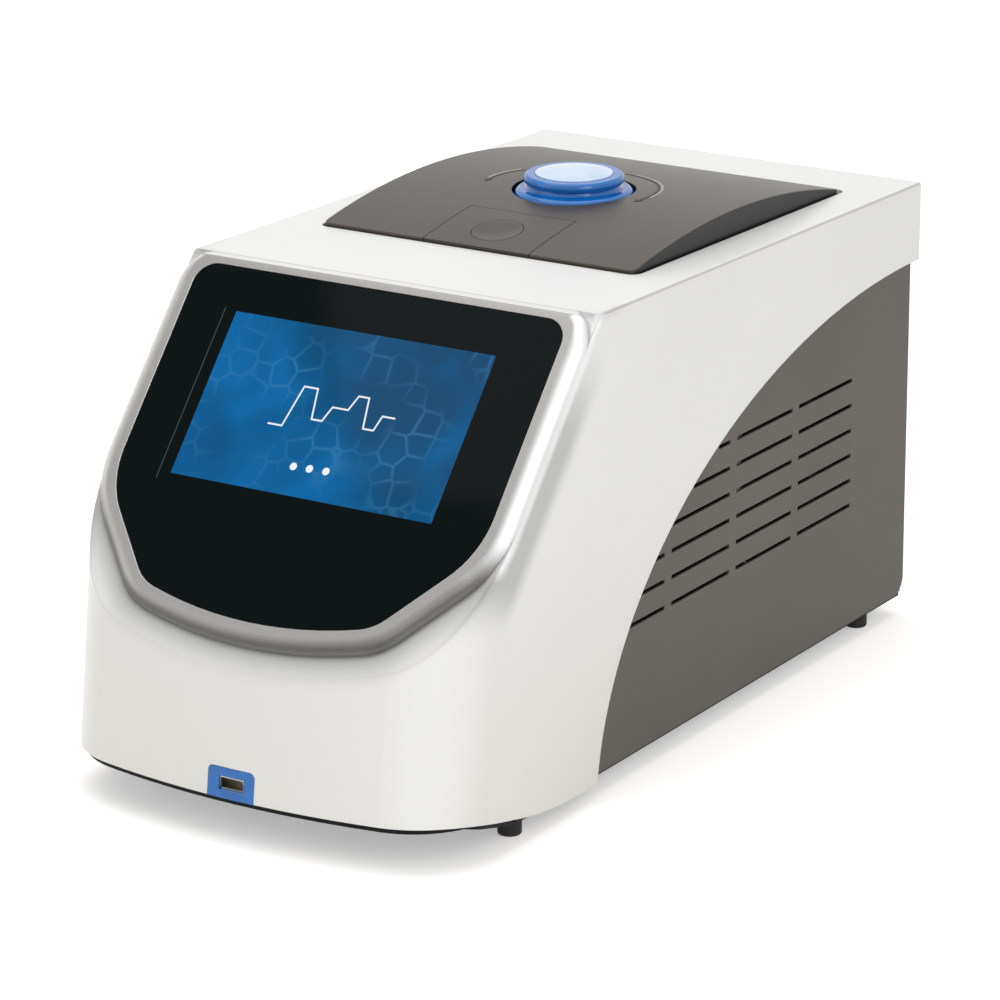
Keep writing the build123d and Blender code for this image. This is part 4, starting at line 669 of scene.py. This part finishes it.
nodeFinish = {
    "upper_shell": "metallicPaintOnAbs",
    "side_panel_left": "powderCoatedSteel",
    "side_panel_right": "powderCoatedSteel",
    "rear_panel": "powderCoatedSteel",
    "base_tray": "blackPowderCoat",
    "feet": "nitrileRubber",
    "foot_screws": "zincPlatedSteel",
    "touch_glass": "backPrintedTouchGlass",
    "lcd_module": "zincPlatedSteel",
    "display_bracket": "zincPlatedSteel",
    "control_board": "solderMask",
    "usb_bezel": "tintedPolycarbonate",
    "usb_socket": "nickelPlate",
    "usb_board": "solderMask",
    "block_deck": "glassFilledNylon",
    "block_gasket": "siliconeRubber",
    "sample_block": "beadBlastedAluminium",
    "peltier_modules": "aluminaCeramic",
    "heat_sink": "extrudedAluminium",
    "chassis_posts": "turnedSteel",
    "air_duct": "blackPbt",
    "fan_frame_left": "blackPbt",
    "fan_frame_right": "blackPbt",
    "fan_rotor_left": "blackPbt",
    "fan_rotor_right": "blackPbt",
    "fan_screws": "zincPlatedSteel",
    "mains_inlet": "blackPbt",
    "inlet_pins": "nickelPlate",
    "rocker_pin": "turnedSteel",
    "power_rocker": "blackPbt",
    "fuse_drawer": "blackPbt",
    "fuse": "drawnGlass",
    "data_socket": "nickelPlate",
    "data_board": "solderMask",
    "power_supply": "zincPlatedSteel",
    "board_posts": "turnedSteel",
    "driver_board": "solderMask",
    "hinge_brackets": "turnedSteel",
    "hinge_pins": "turnedSteel",
    "lid_springs": "turnedSteel",
    "latch_keeper": "turnedSteel",
    "lid_cover": "satinPaintOnAbs",
    "catch_plate": "satinPaintOnAbs",
    "latch_button": "satinPaintOnAbs",
    "lid_base": "glassFilledNylon",
    "spindle_bearing": "sinteredBronze",
    "guide_pins": "turnedSteel",
    "hook_pin": "turnedSteel",
    "button_spring": "turnedSteel",
    "knob": "tintedPolycarbonate",
    "knob_cap": "palePolycarbonate",
    "spindle": "turnedSteel",
    "heated_plate": "hardAnodisedAluminium",
    "heater_mat": "polyimideFilm",
    "plate_carrier": "blackPbt",
    "latch_hook": "turnedSteel",
}
for name, node in nodes.items():
    node.data.materials.clear()
    node.data.materials.append(materials[nodeFinish[name]])
print("CAD nodes finished:", len(nodes))

# Curved arrows beside the knob that show which way it tightens, engraved in the lid's arch: thin strips on the
# arch stand in for the grooves, dark as painted shadow and pale as painted highlight.
arrowLook = {
    "knobPlace": (0.0, blockY),
    "arch": {"frontY": -17.8, "rearY": 193.7, "frontZ": 248.0, "rearZ": 244.5, "crestZ": 257.8},
    "liftMm": 0.04,
    "topMm": 0.12,
    "lineMm": 1.3,
    "head": [(0.4, 2.4), (4.6, 0.2)],
    "steps": 24,
    "arcs": {
        "lidArrowLeft": {"radius": (49.0, 49.0), "sweep": (153.0, 187.0), "headed": True},
        "lidArrowRight": {"radius": (47.0, 42.0), "sweep": (86.0, -5.0), "headed": True},
        "lidGrooveHighlightLeft": {"radius": (50.6, 50.4), "sweep": (155.0, 184.0), "headed": False},
        "lidGrooveHighlightRight": {"radius": (48.8, 44.2), "sweep": (80.0, 4.0), "headed": False},
    },
}


def archHeight(arch, y):  # circle through the lid's front edge, crest and rear edge
    middle, half = (arch["frontY"] + arch["rearY"]) / 2, (arch["rearY"] - arch["frontY"]) / 2
    level = (arch["frontZ"] + arch["rearZ"]) / 2
    rise = arch["crestZ"] - level
    bend = (half**2 + rise**2) / (2 * rise)
    tilt = (arch["rearZ"] - arch["frontZ"]) / (2 * half)
    return arch["crestZ"] - bend + math.sqrt(bend**2 - (y - middle) ** 2) + tilt * (y - middle)


def strip(form, line, look):  # closed strip that follows the arch: points and half widths in mm
    rails = []
    for index, (x, y, half) in enumerate(line):
        ax, ay, _ = line[max(index - 1, 0)]
        bx, by, _ = line[min(index + 1, len(line) - 1)]
        length = math.hypot(bx - ax, by - ay)
        acrossX, acrossY = -(by - ay) / length * half, (bx - ax) / length * half
        corners = []
        for side, height in ((1, "topMm"), (-1, "topMm"), (-1, "liftMm"), (1, "liftMm")):
            px, py = x + side * acrossX, y + side * acrossY
            pz = archHeight(look["arch"], py) + look[height]
            corners.append(form.verts.new((px / 1000, py / 1000, pz / 1000)))
        rails.append(corners)
    for near, far in zip(rails, rails[1:]):
        for corner in range(4):
            after = (corner + 1) % 4
            form.faces.new((near[corner], near[after], far[after], far[corner]))
    form.faces.new(rails[0])
    form.faces.new(rails[-1])
    bmesh.ops.recalc_face_normals(form, faces=form.faces)


def makeArrow(name, arc, look):
    knobX, knobY = look["knobPlace"]
    line = []
    for step in range(look["steps"] + 1):
        share = step / look["steps"]
        angle = math.radians(arc["sweep"][0] + (arc["sweep"][1] - arc["sweep"][0]) * share)
        reach = arc["radius"][0] + (arc["radius"][1] - arc["radius"][0]) * share
        line.append((knobX + reach * math.cos(angle), knobY + reach * math.sin(angle), look["lineMm"] / 2))
    if arc["headed"]:
        (ax, ay, _), (bx, by, _) = line[-2], line[-1]
        heading = math.atan2(by - ay, bx - ax)
        for ahead, half in look["head"]:
            line.append((bx + ahead * math.cos(heading), by + ahead * math.sin(heading), half))
    mesh = bpy.data.meshes.new(name)
    form = bmesh.new()
    strip(form, line, look)
    form.to_mesh(mesh)
    form.free()
    # headed strips carry the painted groove shadow, the others the painted groove highlight
    mesh.materials.append(materials["paintedGrooveShadow" if arc["headed"] else "paintedGrooveHighlight"])
    arrow = bpy.data.objects.new(name, mesh)
    bpy.context.scene.collection.objects.link(arrow)
    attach(arrow, "lid")


for name, arc in arrowLook["arcs"].items():
    makeArrow(name, arc, arrowLook)
print("lid arrows made")

# Camera at the photograph's place: turned right of the nose and raised, with a long lens.
cameraLook = {
    "place": (1.18485, -1.85083, 0.82099),
    "turn": 32.569,
    "raise": 17.951,
    "roll": -0.251,
    "lens": 161.5,
    "sensor": 36.0,
}


def makeCamera(look):
    turn, lift, roll = (math.radians(look[key]) for key in ("turn", "raise", "roll"))
    back = Vector((math.sin(turn) * math.cos(lift), -math.cos(turn) * math.cos(lift), math.sin(lift)))
    right = Vector((0, 0, 1)).cross(back).normalized()
    upward = back.cross(right)
    rightRolled = math.cos(roll) * right + math.sin(roll) * upward
    upRolled = -math.sin(roll) * right + math.cos(roll) * upward
    data = bpy.data.cameras.new("studioCamera")
    data.lens, data.sensor_width, data.clip_end = look["lens"], look["sensor"], 30
    camera = bpy.data.objects.new("studioCamera", data)
    bpy.context.scene.collection.objects.link(camera)
    facing = Matrix((rightRolled, upRolled, back)).transposed().to_4x4()
    camera.matrix_world = Matrix.Translation(look["place"]) @ facing
    bpy.context.scene.camera = camera


makeCamera(cameraLook)

# Soft boxes: place, size and strength in watts; each one looks at the middle of the housing.
softBoxes = {
    "overhead": {"place": (-0.2, 0.0, 1.5), "size": (1.8, 1.4), "power": 10.5},
    "rightFront": {"place": (1.5, -0.9, 0.9), "size": (0.9, 1.2), "power": 5.2},
    "rightShoulder": {"place": (1.3, -0.5, 1.05), "size": (0.45, 0.9), "power": 2.6},
    "leftFront": {"place": (-1.2, -1.3, 0.7), "size": (1.0, 1.0), "power": 3.2},
}
for name, box in softBoxes.items():
    data = bpy.data.lights.new(name, "AREA")
    data.shape, data.size, data.size_y = "RECTANGLE", box["size"][0], box["size"][1]
    data.energy = box["power"]
    lamp = bpy.data.objects.new(name, data)
    bpy.context.scene.collection.objects.link(lamp)
    lamp.location = box["place"]
    lamp.rotation_euler = (Vector((0, 0, 0.13)) - lamp.location).to_track_quat("-Z", "Y").to_euler()

studio = {"ambient": 0.62, "floor": "#F6F5F3", "floorSize": 12.0, "floorLift": 0.38}


# White where the camera, a reflection or a clear material sees it, and softer where it only lights.
def whiteSeen(tree):
    path = addNode(tree, "LightPath")
    seen = maths(tree, "MAXIMUM", path.outputs["Is Camera Ray"], path.outputs["Is Glossy Ray"])
    return maths(tree, "MAXIMUM", seen, path.outputs["Is Transmission Ray"])


world = bpy.data.worlds.new("studioWorld")
bpy.context.scene.world = world
world.use_nodes = True
worldTree = world.node_tree
surround = worldTree.nodes["Background"]
surround.inputs["Color"].default_value = (1, 1, 1, 1)
strength = addNode(worldTree, "MapRange", {3: studio["ambient"], 4: 1.0}, {0: whiteSeen(worldTree)})
worldTree.links.new(strength.outputs[0], surround.inputs["Strength"])


def makeFloor():
    mesh = bpy.data.meshes.new("studioFloor")
    form = bmesh.new()
    bmesh.ops.create_grid(form, x_segments=1, y_segments=1, size=studio["floorSize"] / 2)
    form.to_mesh(mesh)
    form.free()
    floor = bpy.data.objects.new("studioFloor", mesh)
    bpy.context.scene.collection.objects.link(floor)
    material, tree, shader = newMaterial("paperSweep")
    shader.inputs["Base Color"].default_value = linear(studio["floor"])
    shader.inputs["Roughness"].default_value = 0.9
    shader.inputs["Specular IOR Level"].default_value = 0.1
    # seen directly or in a reflection the paper is lifted to white, and keeps the shadow
    shader.inputs["Emission Color"].default_value = (1, 1, 1, 1)
    lift = maths(tree, "MULTIPLY", whiteSeen(tree), studio["floorLift"])
    tree.links.new(lift, shader.inputs["Emission Strength"])
    mesh.materials.append(material)


makeFloor()
bpy.context.scene.view_settings.view_transform = "Standard"
print("camera, lamps and floor set")
